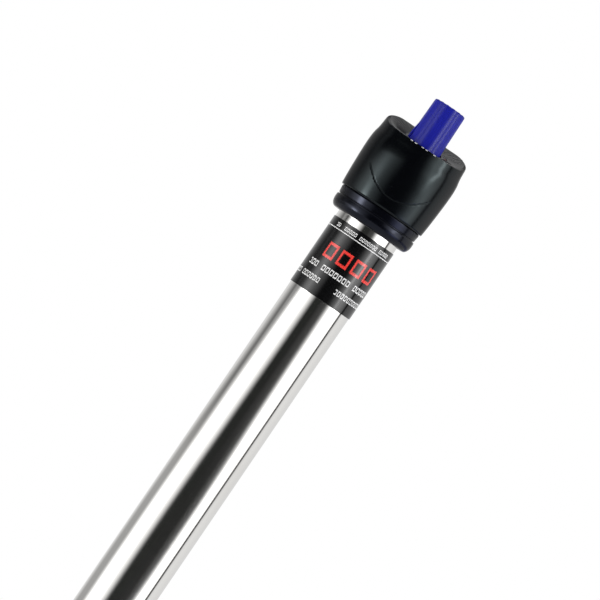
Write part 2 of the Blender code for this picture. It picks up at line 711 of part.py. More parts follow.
def head_housing(scoop):
    """Barrel-shaped moulding: socket for the tube, deck, cavity and seat for the cap."""
    groove = NUT_BORE_RADIUS + NUT_TONGUE_WIDTH + SEAT
    step_radius = (COLLAR_FOOT_RADIUS + barrel_radius(BARREL_TOP)) / 2 + STEP_BULGE
    profile = [
        (0.0, DECK_TOP),
        (CAVITY_RADIUS, DECK_TOP),
        (CAVITY_RADIUS, CAP_LEDGE),
        (CAP_BORE_RADIUS, CAP_LEDGE),
        *shoulder(CAP_BORE_RADIUS),
        (COLLAR_FOOT_RADIUS, FOOT + COLLAR_FOOT),
        (step_radius, FOOT + (COLLAR_FOOT + BARREL_TOP) / 2),
        *barrel_side(),
        (BARREL_FOOT_RADIUS - BARREL_FOOT_CHAMFER, NUT_TOP + SEAT),
        (groove, NUT_TOP + SEAT),
        (groove, NUT_TOP + NUT_TONGUE_HEIGHT + SEAT),
        (BOSS_RADIUS, NUT_TOP + NUT_TONGUE_HEIGHT + SEAT),
        (BOSS_RADIUS, BOSS_FOOT),
        (SOCKET_RADIUS, BOSS_FOOT),
        (SOCKET_RADIUS, DECK_FOOT),
        (0.0, DECK_FOOT),
    ]
    housing = turned_piece("head_housing", profile, gloss_black())
    combine(housing, scoop)
    combine(housing, smile_groove())
    low, high = DECK_FOOT - OVERCUT, DECK_TOP + OVERCUT
    combine(housing, bore_cutter("deck_shaft_hole", SHAFT_BORE_RADIUS, low, high, (0.0, -KNOB_OFFSET)))
    combine(housing, bore_cutter("deck_lead_hole", DECK_HOLE_RADIUS, low, high, (0.0, DECK_HOLE_Y)))
    return housing


def top_cap(scoop):
    """Cap let into the head, with the knob's pocket, the bearing boss and the cord hole."""
    profile = [(0.0, HEAD_TOP), *shoulder_inside_cap(), (CAP_RADIUS, CAP_FOOT), (0.0, CAP_FOOT)]
    cap = turned_piece("top_cap", profile, gloss_black())
    knob_spot = (0.0, -KNOB_OFFSET)
    boss_radius = ORING_BORE_RADIUS + BEARING_BOSS_WALL
    high = CAP_FOOT + OVERCUT
    boss = bore_cutter("bearing_boss", boss_radius, BEARING_BOSS_FOOT, high, knob_spot, MEDIUM_ROUND)
    combine(cap, boss, "UNION")
    combine(cap, scoop)
    low, high = CAP_FOOT - OVERCUT, HEAD_TOP + OVERCUT
    pocket = bore_cutter("knob_pocket", KNOB_POCKET_RADIUS, KNOB_POCKET_FLOOR, high, knob_spot, LARGE_ROUND)
    combine(cap, pocket)
    combine(cap, bore_cutter("shaft_bore", SHAFT_BORE_RADIUS, ORING_BORE_TOP - OVERCUT, HEAD_TOP, knob_spot))
    mouth = BEARING_BOSS_FOOT - OVERCUT
    combine(cap, bore_cutter("oring_bore", ORING_BORE_RADIUS, mouth, ORING_BORE_TOP, knob_spot))
    inlet_radius = INLET_BORE_RADIUS + INLET_WALL + SEAT
    combine(cap, bore_cutter("inlet_hole", inlet_radius, low, high, (0.0, INLET_OFFSET), MEDIUM_ROUND))
    combine(cap, bore_cutter("lens_hole", LENS_RADIUS + SEAT, low, high, (LENS_X, LENS_Y)))
    return cap


def shoulder_inside_cap():
    """Part of the rounded shoulder that the cap carries, from the flat to the cap's edge."""
    last = math.asin((CAP_RADIUS - FLAT_RADIUS) / SHOULDER_WIDTH)
    foot = HEAD_TOP - SHOULDER_HEIGHT
    turns = [last * i / SHOULDER_RINGS for i in range(SHOULDER_RINGS + 1)]
    return [(FLAT_RADIUS + SHOULDER_WIDTH * math.sin(a), foot + SHOULDER_HEIGHT * math.cos(a)) for a in turns]


def cord_gland():
    """Flanged inlet bush for the mains cord, let into the flat rear of the cap."""
    outer = INLET_BORE_RADIUS + INLET_WALL
    flange = outer + INLET_FLANGE_WIDTH
    seat = HEAD_TOP + SEAT
    top = seat + INLET_FLANGE_HEIGHT
    edge = INLET_FLANGE_HEIGHT / 2
    profile = [
        (INLET_BORE_RADIUS, top),
        (flange - edge, top),
        (flange, seat + edge),
        (flange, seat),
        (outer, seat),
        (outer, HEAD_TOP - INLET_DEPTH),
        (INLET_BORE_RADIUS, HEAD_TOP - INLET_DEPTH),
    ]
    spot = (0.0, INLET_OFFSET, 0.0)
    return turned_piece("cord_gland", profile, seal_rubber(), MEDIUM_ROUND, spot, ring=True)


def scoop_level(y):
    """Height of the scooped top at a distance y from the tube's axis."""
    return SCOOP_FRONT + SCOOP_RADIUS - math.sqrt(SCOOP_RADIUS**2 - (y + COLLAR_TOP_RADIUS) ** 2)


def indicator_lens():
    """Light pipe beside the knob, held under the cap by its flange."""
    top = scoop_level(LENS_Y)
    seat = CAP_FOOT - SEAT
    flange_foot = seat - LENS_FLANGE_HEIGHT
    profile = [
        (0.0, top),
        (LENS_RADIUS, top - LENS_POINT),
        (LENS_RADIUS, seat),
        (LENS_FLANGE_RADIUS, seat),
        (LENS_FLANGE_RADIUS, flange_foot),
        (LENS_RADIUS, flange_foot),
        (LENS_RADIUS, flange_foot - LENS_TAIL),
        (0.0, flange_foot - LENS_TAIL),
    ]
    return turned_piece("indicator_lens", profile, clear_red(), SMALL_ROUND, (LENS_X, LENS_Y, 0.0))


def pilot_lamp():
    """Small lamp that stands on the deck under the lens."""
    low = DECK_TOP + SEAT
    high = CAP_FOOT - 2 * SEAT - LENS_FLANGE_HEIGHT - LENS_TAIL
    dome = arc((0.0, high - LAMP_RADIUS), LAMP_RADIUS, 90, 0, LAMP_DOME_POINTS)
    profile = [(0.0, high), *dome[1:], (LAMP_RADIUS, low), (0.0, low)]
    return turned_piece("pilot_lamp", profile, clear_red(), SMALL_ROUND, (LENS_X, LENS_Y, 0.0))


def lying_piece(name, profile, look, at, turn, sides=SMALL_ROUND):
    """A solid turned about its own axis and then laid along another."""
    piece = turned_piece(name, profile, look, sides, at)
    piece.rotation_euler = turn
    return piece


def lamp_resistor():
    """Resistor of the lamp, lying on the deck with swollen ends."""
    half = RESISTOR_LENGTH / 2
    profile = [
        (0.0, half),
        (RESISTOR_WAIST, half),
        (RESISTOR_RADIUS, half - RESISTOR_SWELLING),
        (RESISTOR_WAIST, half - 2 * RESISTOR_SWELLING),
        (RESISTOR_WAIST, 2 * RESISTOR_SWELLING - half),
        (RESISTOR_RADIUS, RESISTOR_SWELLING - half),
        (RESISTOR_WAIST, -half),
        (0.0, -half),
    ]
    level = DECK_TOP + SEAT + RESISTOR_RADIUS
    place = (RESISTOR_X, RESISTOR_Y, level)
    return lying_piece("lamp_resistor", profile, amber_resin(), place, (0.0, math.pi / 2, 0.0), TINY_ROUND)


# Knob and spindle


def knob_outline():
    """Fluted outline of the knob about its own axis."""
    count = KNOB_FLUTES * KNOB_FLUTE_POINTS
    points = []
    for i in range(count):
        turn = 2 * math.pi * i / count
        radius = KNOB_RADIUS - KNOB_FLUTE_DEPTH * (1 - math.cos(KNOB_FLUTES * turn)) / 2
        points.append((radius * math.cos(turn), radius * math.sin(turn)))
    return points


def fluted_body():
    """Knob body with a chamfered top edge, which starts inside the skirt."""
    mesh = bpy.data.meshes.new("temperature_knob")
    shape = bmesh.new()
    top = KNOB_FOOT + KNOB_HEIGHT
    foot = KNOB_FOOT + KNOB_SKIRT_HEIGHT / 2
    levels = ((foot, 1.0), (top - KNOB_CHAMFER, 1.0), (top, 1.0 - KNOB_CHAMFER / KNOB_RADIUS))
    base = shape.faces.new([shape.verts.new((x, y, foot)) for x, y in knob_outline()])
    face = base
    for (low, wide), (high, narrow) in zip(levels, levels[1:]):
        grown = bmesh.ops.extrude_face_region(shape, geom=[face])["geom"]
        if face is not base:
            shape.faces.remove(face)
        face = next(g for g in grown if isinstance(g, bmesh.types.BMFace))
        shrink = Matrix.Diagonal((narrow / wide, narrow / wide, 1.0, 1.0))
        lift = Matrix.Translation((0.0, 0.0, high - low))
        bmesh.ops.transform(shape, matrix=lift @ shrink, verts=face.verts)
    bmesh.ops.recalc_face_normals(shape, faces=shape.faces)
    shape.to_mesh(mesh)
    shape.free()
    return mesh


def pointer_wedge():
    """Small pointer at the knob's foot that slopes up into its side."""
    inner = KNOB_RADIUS - POINTER_ROOT
    outer = KNOB_RADIUS + POINTER_REACH
    outline = [
        (inner, KNOB_FOOT + SEAT),
        (outer, KNOB_FOOT + SEAT),
        (outer, KNOB_FOOT + POINTER_HEIGHT / 2),
        (inner, KNOB_FOOT + POINTER_HEIGHT + POINTER_ROOT),
    ]
    mesh = side_outline_mesh("pointer_wedge", outline, POINTER_WIDTH)
    mesh.transform(Matrix.Rotation(POINTER_ANGLE - math.pi / 2, 4, "Z"))
    return add_cutter("pointer_wedge", mesh, (0.0, -KNOB_OFFSET, 0.0))


def flatted_rod(name, radius, flat, low, high):
    """Round rod with one flat on its +Y side."""
    mesh = cylinder_mesh(name, radius, low, high)
    shape = bmesh.new()
    shape.from_mesh(mesh)
    everything = shape.verts[:] + shape.edges[:] + shape.faces[:]
    bmesh.ops.bisect_plane(
        shape, geom=everything, plane_co=(0.0, flat, 0.0), plane_no=(0.0, 1.0, 0.0), clear_outer=True
    )
    bmesh.ops.holes_fill(shape, edges=[e for e in shape.edges if e.is_boundary])
    bmesh.ops.recalc_face_normals(shape, faces=shape.faces)
    shape.to_mesh(mesh)
    shape.free()
    return mesh


def knob_skirt():
    """Low round skirt that fills the knob's pocket."""
    radius = KNOB_RADIUS + KNOB_SKIRT_WIDTH
    high = KNOB_FOOT + KNOB_SKIRT_HEIGHT
    return bore_cutter("knob_skirt", radius, KNOB_FOOT, high, (0.0, -KNOB_OFFSET), LARGE_ROUND)


def temperature_knob():
    """Fluted knob with a skirt and a pointer, pressed on the spindle."""
    spot = (0.0, -KNOB_OFFSET, 0.0)
    knob = add_piece("temperature_knob", fluted_body(), knob_blue(), spot)
    combine(knob, knob_skirt(), "UNION")
    combine(knob, pointer_wedge(), "UNION")
    low, high = KNOB_FOOT - OVERCUT, SHAFT_TOP + SEAT
    socket = flatted_rod("knob_socket", SHAFT_RADIUS + SEAT, SHAFT_FLAT + SEAT, low, high)
    combine(knob, add_cutter("knob_socket", socket, spot))
    return knob


def knob_shaft():
    """Spindle: flatted top for the knob, clip groove, and a slotted lower end."""
    spot = (0.0, -KNOB_OFFSET, 0.0)
    groove = SHAFT_RADIUS - CLIP_GROOVE_DEPTH
    drive_top = SHAFT_FOOT + SHAFT_DRIVE_LENGTH
    profile = [
        (0.0, SHAFT_TOP),
        (SHAFT_RADIUS - SEAT, SHAFT_TOP),
        (SHAFT_RADIUS, SHAFT_TOP - SEAT),
        (SHAFT_RADIUS, CLIP_TOP + SEAT),
        (groove, CLIP_TOP + SEAT),
        (groove, CLIP_TOP - CLIP_THICKNESS - SEAT),
        (SHAFT_RADIUS, CLIP_TOP - CLIP_THICKNESS - SEAT),
        (SHAFT_RADIUS, drive_top),
        (SHAFT_DRIVE_RADIUS, drive_top - (SHAFT_DRIVE_RADIUS - SHAFT_RADIUS)),
        (SHAFT_DRIVE_RADIUS, SHAFT_FOOT),
        (0.0, SHAFT_FOOT),
    ]
    shaft = turned_piece("knob_shaft", profile, plated_steel(), SMALL_ROUND, spot)
    wide = 2 * SHAFT_DRIVE_RADIUS
    low = (-wide, SHAFT_FLAT, KNOB_FOOT)
    high = (wide, wide, SHAFT_TOP + OVERCUT)
    combine(shaft, add_cutter("shaft_flat", box_mesh("shaft_flat", low, high), spot))
    half = SCREW_TANG / 2 + SEAT
    low = (-wide, -half, SHAFT_FOOT - OVERCUT)
    high = (wide, half, SHAFT_FOOT + SHAFT_SLOT_DEPTH)
    combine(shaft, add_cutter("shaft_slot", box_mesh("shaft_slot", low, high), spot))
    return shaft


def shaft_seal(name, middle):
    """O-ring round the spindle."""
    half = ORING_THICKNESS / 2
    profile = arc((SHAFT_BORE_RADIUS + half, middle), half, 90, -270, ORING_POINTS)[:-1]
    return turned_piece(name, profile, seal_rubber(), SMALL_ROUND, (0.0, -KNOB_OFFSET, 0.0), ring=True)


def shaft_seals():
    """Two O-rings stacked over the bearing."""
    lower = BEARING_TOP + SEAT + ORING_THICKNESS / 2
    shaft_seal("shaft_seal_lower", lower)
    shaft_seal("shaft_seal_upper", lower + ORING_THICKNESS + SEAT)


def shaft_bearing():
    """Bush in the boss, which also keeps the O-rings in."""
    outer = ORING_BORE_RADIUS - SEAT
    spot = (0.0, -KNOB_OFFSET, 0.0)
    look = bearing_plastic()
    return ring_piece(
        "shaft_bearing", SHAFT_BORE_RADIUS, outer, BEARING_FOOT, BEARING_TOP, look, SMALL_ROUND, spot
    )


def shaft_clip():
    """Retaining clip in the spindle's groove, open on one side."""
    inner = SHAFT_RADIUS - CLIP_GROOVE_DEPTH + SEAT
    spot = (0.0, -KNOB_OFFSET, 0.0)
    low = CLIP_TOP - CLIP_THICKNESS
    clip = ring_piece("shaft_clip", inner, CLIP_RADIUS, low, CLIP_TOP, plated_steel(), SMALL_ROUND, spot)
    mouth = box_mesh("clip_mouth", (0.0, -inner, low - OVERCUT), (2 * CLIP_RADIUS, inner, CLIP_TOP + OVERCUT))
    combine(clip, add_cutter("clip_mouth", mouth, spot))
    return clip


# Stopper and thermostat


def sealing_plug():
    """Rubber stopper with a flange, sealing ribs and holes for spindle and leads."""
    outer = TUBE_BORE - SEAT
    flange = SOCKET_RADIUS - SEAT
    flange_foot = TUBE_TOP + SEAT
    waist = outer - PLUG_RIB_DEPTH
    rib = (PLUG_LENGTH + SEAT) / (2 * PLUG_RIBS)
    profile = [(0.0, PLUG_TOP), (flange, PLUG_TOP), (flange, flange_foot), (outer, flange_foot)]
    for i in range(1, PLUG_RIBS):
        high, low = flange_foot - (2 * i - 1) * rib, flange_foot - 2 * i * rib
        slope = PLUG_RIB_SLOPE * rib
        profile += [(outer, high), (waist, high - slope), (waist, low + slope), (outer, low)]
    profile += [(outer, PLUG_FOOT + PLUG_RIB_DEPTH), (waist, PLUG_FOOT), (0.0, PLUG_FOOT)]
    plug = turned_piece("sealing_plug", profile, stopper_rubber(), MEDIUM_ROUND)
    low, high = PLUG_FOOT - OVERCUT, PLUG_TOP + OVERCUT
    combine(plug, bore_cutter("plug_shaft_hole", SHAFT_BORE_RADIUS, low, high, (0.0, -KNOB_OFFSET)))
    combine(plug, bore_cutter("plug_lead_hole", LEAD_HOLE_RADIUS, low, high, (0.0, LEAD_HOLE_Y)))
    return plug


def thermostat_frame():
    """Bent sheet bracket under the stopper: top flange, spine and a shelf for the screw."""
    half = FRAME_THICKNESS / 2
    reach = KNOB_OFFSET + SHAFT_DRIVE_RADIUS
    low_top = FRAME_TOP - FRAME_THICKNESS
    outline = [
        (-reach, FRAME_TOP),
        (SPINE_BACK_Y - FRAME_BEND, FRAME_TOP),
        (SPINE_BACK_Y, FRAME_TOP - FRAME_BEND),
        (SPINE_BACK_Y, SPINE_FOOT),
        (SPINE_FRONT_Y, SPINE_FOOT),
        (SPINE_FRONT_Y, SHELF - half),
        (-reach - SEAT, SHELF - half),
        (-reach - SEAT, SHELF + half),
        (SPINE_FRONT_Y, SHELF + half),
        (SPINE_FRONT_Y, low_top),
        (-reach, low_top),
    ]
    mesh = side_outline_mesh("thermostat_frame", outline, FRAME_WIDTH)
    frame = add_piece("thermostat_frame", mesh, plated_steel())
    high = FRAME_TOP + OVERCUT
    room = TUBE_BORE - FRAME_AIR
    inside = bore_cutter("frame_trim", room, SPINE_FOOT - OVERCUT, high, (0.0, 0.0), LARGE_ROUND)
    combine(frame, inside, "INTERSECT")
    spot = (0.0, -KNOB_OFFSET)
    barrel = SCREW_RADIUS + 2 * SEAT + SCREW_NUT_WALL
    combine(frame, bore_cutter("shelf_hole", barrel, SHELF - OVERCUT, SHELF + OVERCUT, spot))
    low = low_top - OVERCUT
    lead_spot = (0.0, LEAD_HOLE_Y)
    combine(frame, bore_cutter("frame_shaft_hole", SHAFT_BORE_RADIUS, low, high, spot))
    combine(frame, bore_cutter("frame_lead_hole", LEAD_HOLE_RADIUS - SEAT, low, high, lead_spot))
    for level in (PIVOT - RIVET_SPREAD, PIVOT + RIVET_SPREAD):
        combine(frame, cross_hole("spine_rivet_hole", RIVET_RADIUS + SEAT, SPINE_Y, FRAME_THICKNESS, level))
    return frame


def cross_hole(name, radius, y, depth, level):
    """Round hole along Y through a plate."""
    mesh = cylinder_mesh(name, radius, -depth, depth, TINY_ROUND)
    mesh.transform(Matrix.Rotation(math.pi / 2, 4, "X"))
    return add_cutter(name, mesh, (0.0, y, level))


def screw_nut():
    """Flanged threaded bush that hangs in the shelf."""
    inner = SCREW_RADIUS + SEAT
    outer = inner + SCREW_NUT_WALL
    seat = SCREW_NUT_TOP - SCREW_NUT_FLANGE
    foot = SCREW_NUT_TOP - SCREW_NUT_LENGTH
    profile = [
        (inner, SCREW_NUT_TOP),
        (SCREW_NUT_FLANGE_RADIUS, SCREW_NUT_TOP),
        (SCREW_NUT_FLANGE_RADIUS, seat),
        (outer, seat),
        (outer, foot),
        (inner, foot),
    ]
    return turned_piece("screw_nut", profile, brass(), SMALL_ROUND, (0.0, -KNOB_OFFSET, 0.0), ring=True)


def adjusting_screw():
    """Screw with a flat tang in the spindle's slot and a tapered tip over the lever."""
    spot = (0.0, -KNOB_OFFSET, 0.0)
    profile = [
        (0.0, SCREW_NECK),
        (SCREW_RADIUS, SCREW_NECK),
        (SCREW_RADIUS, SCREW_TIP + SCREW_TIP_TAPER),
        (SCREW_TIP_RADIUS, SCREW_TIP),
        (0.0, SCREW_TIP),
    ]
    screw = turned_piece("adjusting_screw", profile, brass(), SMALL_ROUND, spot)
    half = SCREW_TANG / 2
    wide = SHAFT_DRIVE_RADIUS - 2 * SEAT
    tang = box_mesh("screw_tang", (-wide, -half, SCREW_HEAD), (wide, half, SCREW_TOP))
    combine(screw, add_cutter("screw_tang", tang, spot), "UNION")
    return screw


def arm_block():
    """Insulating block on the spine that both contact arms are riveted to."""
    half = BLOCK_HEIGHT / 2
    low = (-BLOCK_WIDTH / 2, BLOCK_FRONT_Y, PIVOT - half)
    high = (BLOCK_WIDTH / 2, SPINE_FRONT_Y - SEAT, PIVOT + half)
    block = add_piece("arm_block", box_mesh("arm_block", low, high, BLOCK_ROUND), phenolic())
    slot_half = STRIP_THICKNESS / 2 + SEAT
    slot_low = (-BLOCK_WIDTH, STRIP_Y - slot_half, PIVOT - BLOCK_HEIGHT)
    slot_high = (BLOCK_WIDTH, STRIP_Y + slot_half, PIVOT + STRIP_ROOT + SEAT)
    combine(block, add_cutter("strip_slot", box_mesh("strip_slot", slot_low, slot_high)))
    for level in (PIVOT - RIVET_SPREAD, PIVOT + RIVET_SPREAD):
        combine(block, cross_hole("block_rivet_hole", RIVET_RADIUS + SEAT, STRIP_Y, 2 * SPINE_Y, level))
    return block


def arm_rivet(name, level):
    """Rivet through lever, block, strip and spine."""
    front = LEVER_Y - LEVER_THICKNESS / 2 - SEAT
    back = SPINE_BACK_Y + SEAT
    profile = [
        (0.0, back + RIVET_HEAD),
        (RIVET_HEAD_RADIUS, back + RIVET_HEAD),
        (RIVET_HEAD_RADIUS, back),
        (RIVET_RADIUS, back),
        (RIVET_RADIUS, front),
        (RIVET_HEAD_RADIUS, front),
        (RIVET_HEAD_RADIUS, front - RIVET_HEAD),
        (0.0, front - RIVET_HEAD),
    ]
    return lying_piece(name, profile, brass(), (0.0, 0.0, level), (-math.pi / 2, 0.0, 0.0), TINY_ROUND)


def contact_lever():
    """Bent spring arm: a tab under the screw and a leg that carries a contact."""
    half = LEVER_THICKNESS / 2
    tab_end = -KNOB_OFFSET - LEVER_REACH
    outline = [
        (tab_end, LEVER_TOP),
        (LEVER_Y + half, LEVER_TOP),
        (LEVER_Y + half, FOOT - LEVER_FOOT_DEPTH),
        (LEVER_Y - half, FOOT - LEVER_FOOT_DEPTH),
        (LEVER_Y - half, LEVER_TOP - LEVER_THICKNESS),
        (tab_end, LEVER_TOP - LEVER_THICKNESS),
    ]
    lever = add_piece("contact_arm", side_outline_mesh("contact_arm", outline, LEVER_WIDTH), brass())
    for level in (PIVOT - RIVET_SPREAD, PIVOT + RIVET_SPREAD):
        combine(lever, cross_hole("lever_rivet_hole", RIVET_RADIUS + SEAT, LEVER_Y, LEVER_THICKNESS, level))
    stem_hole = CONTACT_STEM_RADIUS + SEAT
    combine(lever, cross_hole("lever_contact_hole", stem_hole, LEVER_Y, LEVER_THICKNESS, CONTACT_LEVEL))
    low = (-MAGNET_SIZE[0] / 2, LEVER_Y + half + SEAT, FOOT - MAGNET_DEPTH - MAGNET_SIZE[2] / 2)
    high = (-low[0], low[1] + MAGNET_SIZE[1], low[2] + MAGNET_SIZE[2])
    magnet = add_piece("snap_magnet", box_mesh("snap_magnet", low, high, MAGNET_ROUND), magnet_dark())
    contact = contact_button("fixed_contact", LEVER_Y, LEVER_THICKNESS, CONTACT_HEAD, 1)
    hang_on_pivot("contact_arm_pivot", (0.0, LEVER_Y, PIVOT), (lever, magnet, contact))


def contact_button(name, plate_y, plate_thickness, head, facing):
    """Riveted contact: head on one side of its arm, tail on the other. Facing is 1 for +Y."""
    near = plate_thickness / 2 + SEAT
    profile = [
        (0.0, near + head),
        (CONTACT_RADIUS - CONTACT_CHAMFER, near + head),
        (CONTACT_RADIUS, near + head - CONTACT_CHAMFER),
        (CONTACT_RADIUS, near),
        (CONTACT_STEM_RADIUS, near),
        (CONTACT_STEM_RADIUS, -near),
        (CONTACT_TAIL_RADIUS, -near),
        (CONTACT_TAIL_RADIUS, -near - CONTACT_TAIL),
        (0.0, -near - CONTACT_TAIL),
    ]
    place = (0.0, plate_y, CONTACT_LEVEL)
    return lying_piece(name, profile, silver(), place, (-facing * math.pi / 2, 0.0, 0.0))


def bimetal_arm():
    """Temperature-sensing strip clamped in the block, with the moving contact."""
    half = STRIP_THICKNESS / 2
    low = (-STRIP_WIDTH / 2, STRIP_Y - half, FOOT - STRIP_FOOT_DEPTH)
    high = (STRIP_WIDTH / 2, STRIP_Y + half, PIVOT + STRIP_ROOT)
    strip = add_piece("bimetal_strip", box_mesh("bimetal_strip", low, high), plated_steel())
    for level in (PIVOT - RIVET_SPREAD, PIVOT + RIVET_SPREAD):
        combine(strip, cross_hole("strip_rivet_hole", RIVET_RADIUS + SEAT, STRIP_Y, STRIP_THICKNESS, level))
    stem_hole = CONTACT_STEM_RADIUS + SEAT
    combine(strip, cross_hole("strip_contact_hole", stem_hole, STRIP_Y, STRIP_THICKNESS, CONTACT_LEVEL))
    fixed_face = LEVER_Y + LEVER_THICKNESS / 2 + SEAT + CONTACT_HEAD
    head = STRIP_Y - half - SEAT - fixed_face - CONTACT_OPENING
    contact = contact_button("moving_contact", STRIP_Y, STRIP_THICKNESS, head, -1)
    hang_on_pivot("bimetal_pivot", (0.0, STRIP_Y, PIVOT), (strip, contact))


def suppression_capacitor():
    """Potted capacitor on the front of the spine."""
    top = FOOT - STRIP_FOOT_DEPTH - CAPACITOR_DROP
    back = SPINE_FRONT_Y - SEAT
    low = (-CAPACITOR_SIZE[0] / 2, back - CAPACITOR_SIZE[1], top - CAPACITOR_SIZE[2])
    high = (CAPACITOR_SIZE[0] / 2, back, top)
    mesh = box_mesh("suppression_capacitor", low, high, CAPACITOR_ROUND)
    return add_piece("suppression_capacitor", mesh, amber_resin())


def thermal_fuse():
    """Overheat cut-out behind the spine."""
    middle = FOOT - FUSE_DEPTH
    half = FUSE_LENGTH / 2
    shoulder_foot = middle + half - (FUSE_RADIUS - FUSE_NECK_RADIUS)
    profile = [
        (0.0, middle + half),
        (FUSE_NECK_RADIUS, middle + half),
        (FUSE_RADIUS, shoulder_foot),
        (FUSE_RADIUS, middle - half),
        (0.0, middle - half),
    ]
    place = (LIVE_LEAD_X, SPINE_BACK_Y + SEAT + FUSE_RADIUS, 0.0)
    return turned_piece("thermal_fuse", profile, plated_steel(), SMALL_ROUND, place)


# Heating element


def spacer(name, low):
    """Ceramic disc that centres the element in the tube, with holes for rod and leads."""
    high = low + SPACER_THICKNESS
    outer = TUBE_BORE - SPACER_AIR
    profile = [
        (ROD_RADIUS + SEAT, high),
        (outer - SPACER_EDGE, high),
        (outer, high - SPACER_EDGE),
        (outer, low + SPACER_EDGE),
        (outer - SPACER_EDGE, low),
        (ROD_RADIUS + SEAT, low),
    ]
    disc = turned_piece(name, profile, ceramic(), MEDIUM_ROUND, ring=True)
    for tag, spot in (("live", (LIVE_LEAD_X, LIVE_LEAD_Y)), ("neutral", (NEUTRAL_LEAD_X, NEUTRAL_LEAD_Y))):
        hole = bore_cutter(
            f"{name}_{tag}_hole", LEAD_RADIUS + SEAT, low - OVERCUT, high + OVERCUT, spot, TINY_ROUND
        )
        combine(disc, hole)
    return disc


def element_core():
    """Fluted ceramic former that the resistance wire is wound on."""
    points = []
    for i in range(CORE_POINTS):
        turn = 2 * math.pi * i / CORE_POINTS
        radius = CORE_RADIUS - CORE_FLUTE_DEPTH * (1 - math.cos(CORE_FLUTES * turn)) / 2
        points.append((radius * math.cos(turn), radius * math.sin(turn)))
    core = add_piece("element_core", outline_mesh("element_core", points, CORE_FOOT, CORE_TOP), ceramic())
    bore = bore_cutter("core_bore", ROD_RADIUS + SEAT, CORE_FOOT - OVERCUT, CORE_TOP + OVERCUT, (0.0, 0.0))
    combine(core, bore)
    return core


def heating_coil():
    """Resistance wire in one open helix round the former."""
    steps = COIL_TURNS * COIL_POINTS_PER_TURN
    points = []
    for i in range(steps + 1):
        turn = math.pi / 2 + 2 * math.pi * i / COIL_POINTS_PER_TURN
        level = COIL_TOP + (COIL_FOOT - COIL_TOP) * i / steps
        points.append((COIL_RADIUS * math.cos(turn), COIL_RADIUS * math.sin(turn), level))
    mesh = wire_mesh("heating_coil", points, COIL_WIRE_RADIUS)
    return add_piece("heating_coil", mesh, resistance_wire())


def core_rod():
    """Steel rod through former and spacers."""
    low = LOWER_SPACER_FOOT - SEAT - ROD_NUT_HEIGHT - ROD_END
    high = UPPER_SPACER_TOP + SEAT + ROD_NUT_HEIGHT + ROD_END
    return add_piece("core_rod", cylinder_mesh("core_rod", ROD_RADIUS, low, high), plated_steel())


def rod_nut(name, low):
    """Hexagon nut on the rod."""
    high = low + ROD_NUT_HEIGHT
    nut = add_piece(name, cylinder_mesh(name, ROD_NUT_RADIUS, low, high, HEXAGON), plated_steel())
    hole = bore_cutter(f"{name}_hole", ROD_RADIUS + SEAT, low - OVERCUT, high + OVERCUT, (0.0, 0.0))
    combine(nut, hole)
    return nut


def live_lead():
    """Wire from the overheat cut-out down to the top of the coil."""
    high = FOOT - FUSE_DEPTH - FUSE_LENGTH / 2 - SEAT
    low = COIL_TOP + 2 * SEAT
    points = [(LIVE_LEAD_X, LIVE_LEAD_Y, high), (LIVE_LEAD_X, LIVE_LEAD_Y, low)]
    return add_piece("live_lead", wire_mesh("live_lead", points, LEAD_RADIUS), lead_sleeve())


def neutral_lead():
    """Wire from under the stopper down past the coil to its lower end."""
    high = PLUG_FOOT - SEAT
    low = CORE_FOOT + SEAT
    points = [(NEUTRAL_LEAD_X, NEUTRAL_LEAD_Y, high), (NEUTRAL_LEAD_X, NEUTRAL_LEAD_Y, low)]
    return add_piece("neutral_lead", wire_mesh("neutral_lead", points, LEAD_RADIUS), bearing_plastic())


def lead_crimp(name, spot, low):
    """Crimp sleeve on the end of a lead."""
    inner = LEAD_RADIUS + SEAT
    high = low + CRIMP_LENGTH
    return ring_piece(name, inner, inner + CRIMP_WALL, low, high, plated_steel(), TINY_ROUND, (*spot, 0.0))


def base_pad():
    """Rubber pad under the element, shaped to the closed end of the tube."""
    outer = TUBE_BORE - SEAT
    fillet = TUBE_END_FILLET - TUBE_WALL - SEAT
    floor = TUBE_WALL + SEAT
    profile = [
        (0.0, PAD_POCKET_FLOOR),
        (PAD_POCKET_RADIUS, PAD_POCKET_FLOOR),
        (PAD_POCKET_RADIUS, PAD_TOP),
        (outer, PAD_TOP),
        *arc((outer - fillet, TUBE_END_FILLET), fillet, 0, -90, EDGE_POINTS),
        (0.0, floor),
    ]
    return turned_piece("base_pad", profile, seal_rubber(), MEDIUM_ROUND)


def build_head():
    scoop = scoop_cutter()
    head_housing(scoop)
    top_cap(scoop)
    cord_gland()
    indicator_lens()
    pilot_lamp()
    lamp_resistor()


def build_foot():
    heater_tube()
    label_sleeve()
    gland_nut()
    slip_washer()
    tube_seal()


def build_control():
    temperature_knob()
    knob_shaft()
    shaft_seals()
    shaft_bearing()
    shaft_clip()


def build_thermostat():
    sealing_plug()
    thermostat_frame()
    screw_nut()
    adjusting_screw()
    arm_block()
    arm_rivet("arm_rivet_upper", PIVOT + RIVET_SPREAD)
    arm_rivet("arm_rivet_lower", PIVOT - RIVET_SPREAD)
    contact_lever()
    bimetal_arm()
    suppression_capacitor()
    thermal_fuse()


def build_element():
    spacer("upper_spacer", UPPER_SPACER_FOOT)
    spacer("lower_spacer", LOWER_SPACER_FOOT)
    element_core()
    heating_coil()
    core_rod()
    rod_nut("rod_nut_upper", UPPER_SPACER_TOP + SEAT)
    rod_nut("rod_nut_lower", LOWER_SPACER_FOOT - SEAT - ROD_NUT_HEIGHT)
    live_lead()
    neutral_lead()
    lead_crimp("crimp_upper", (LIVE_LEAD_X, LIVE_LEAD_Y), COIL_TOP + 2 * SEAT + COIL_WIRE_RADIUS)
    lead_crimp("crimp_lower", (NEUTRAL_LEAD_X, NEUTRAL_LEAD_Y), CORE_FOOT + 2 * SEAT)
    base_pad()


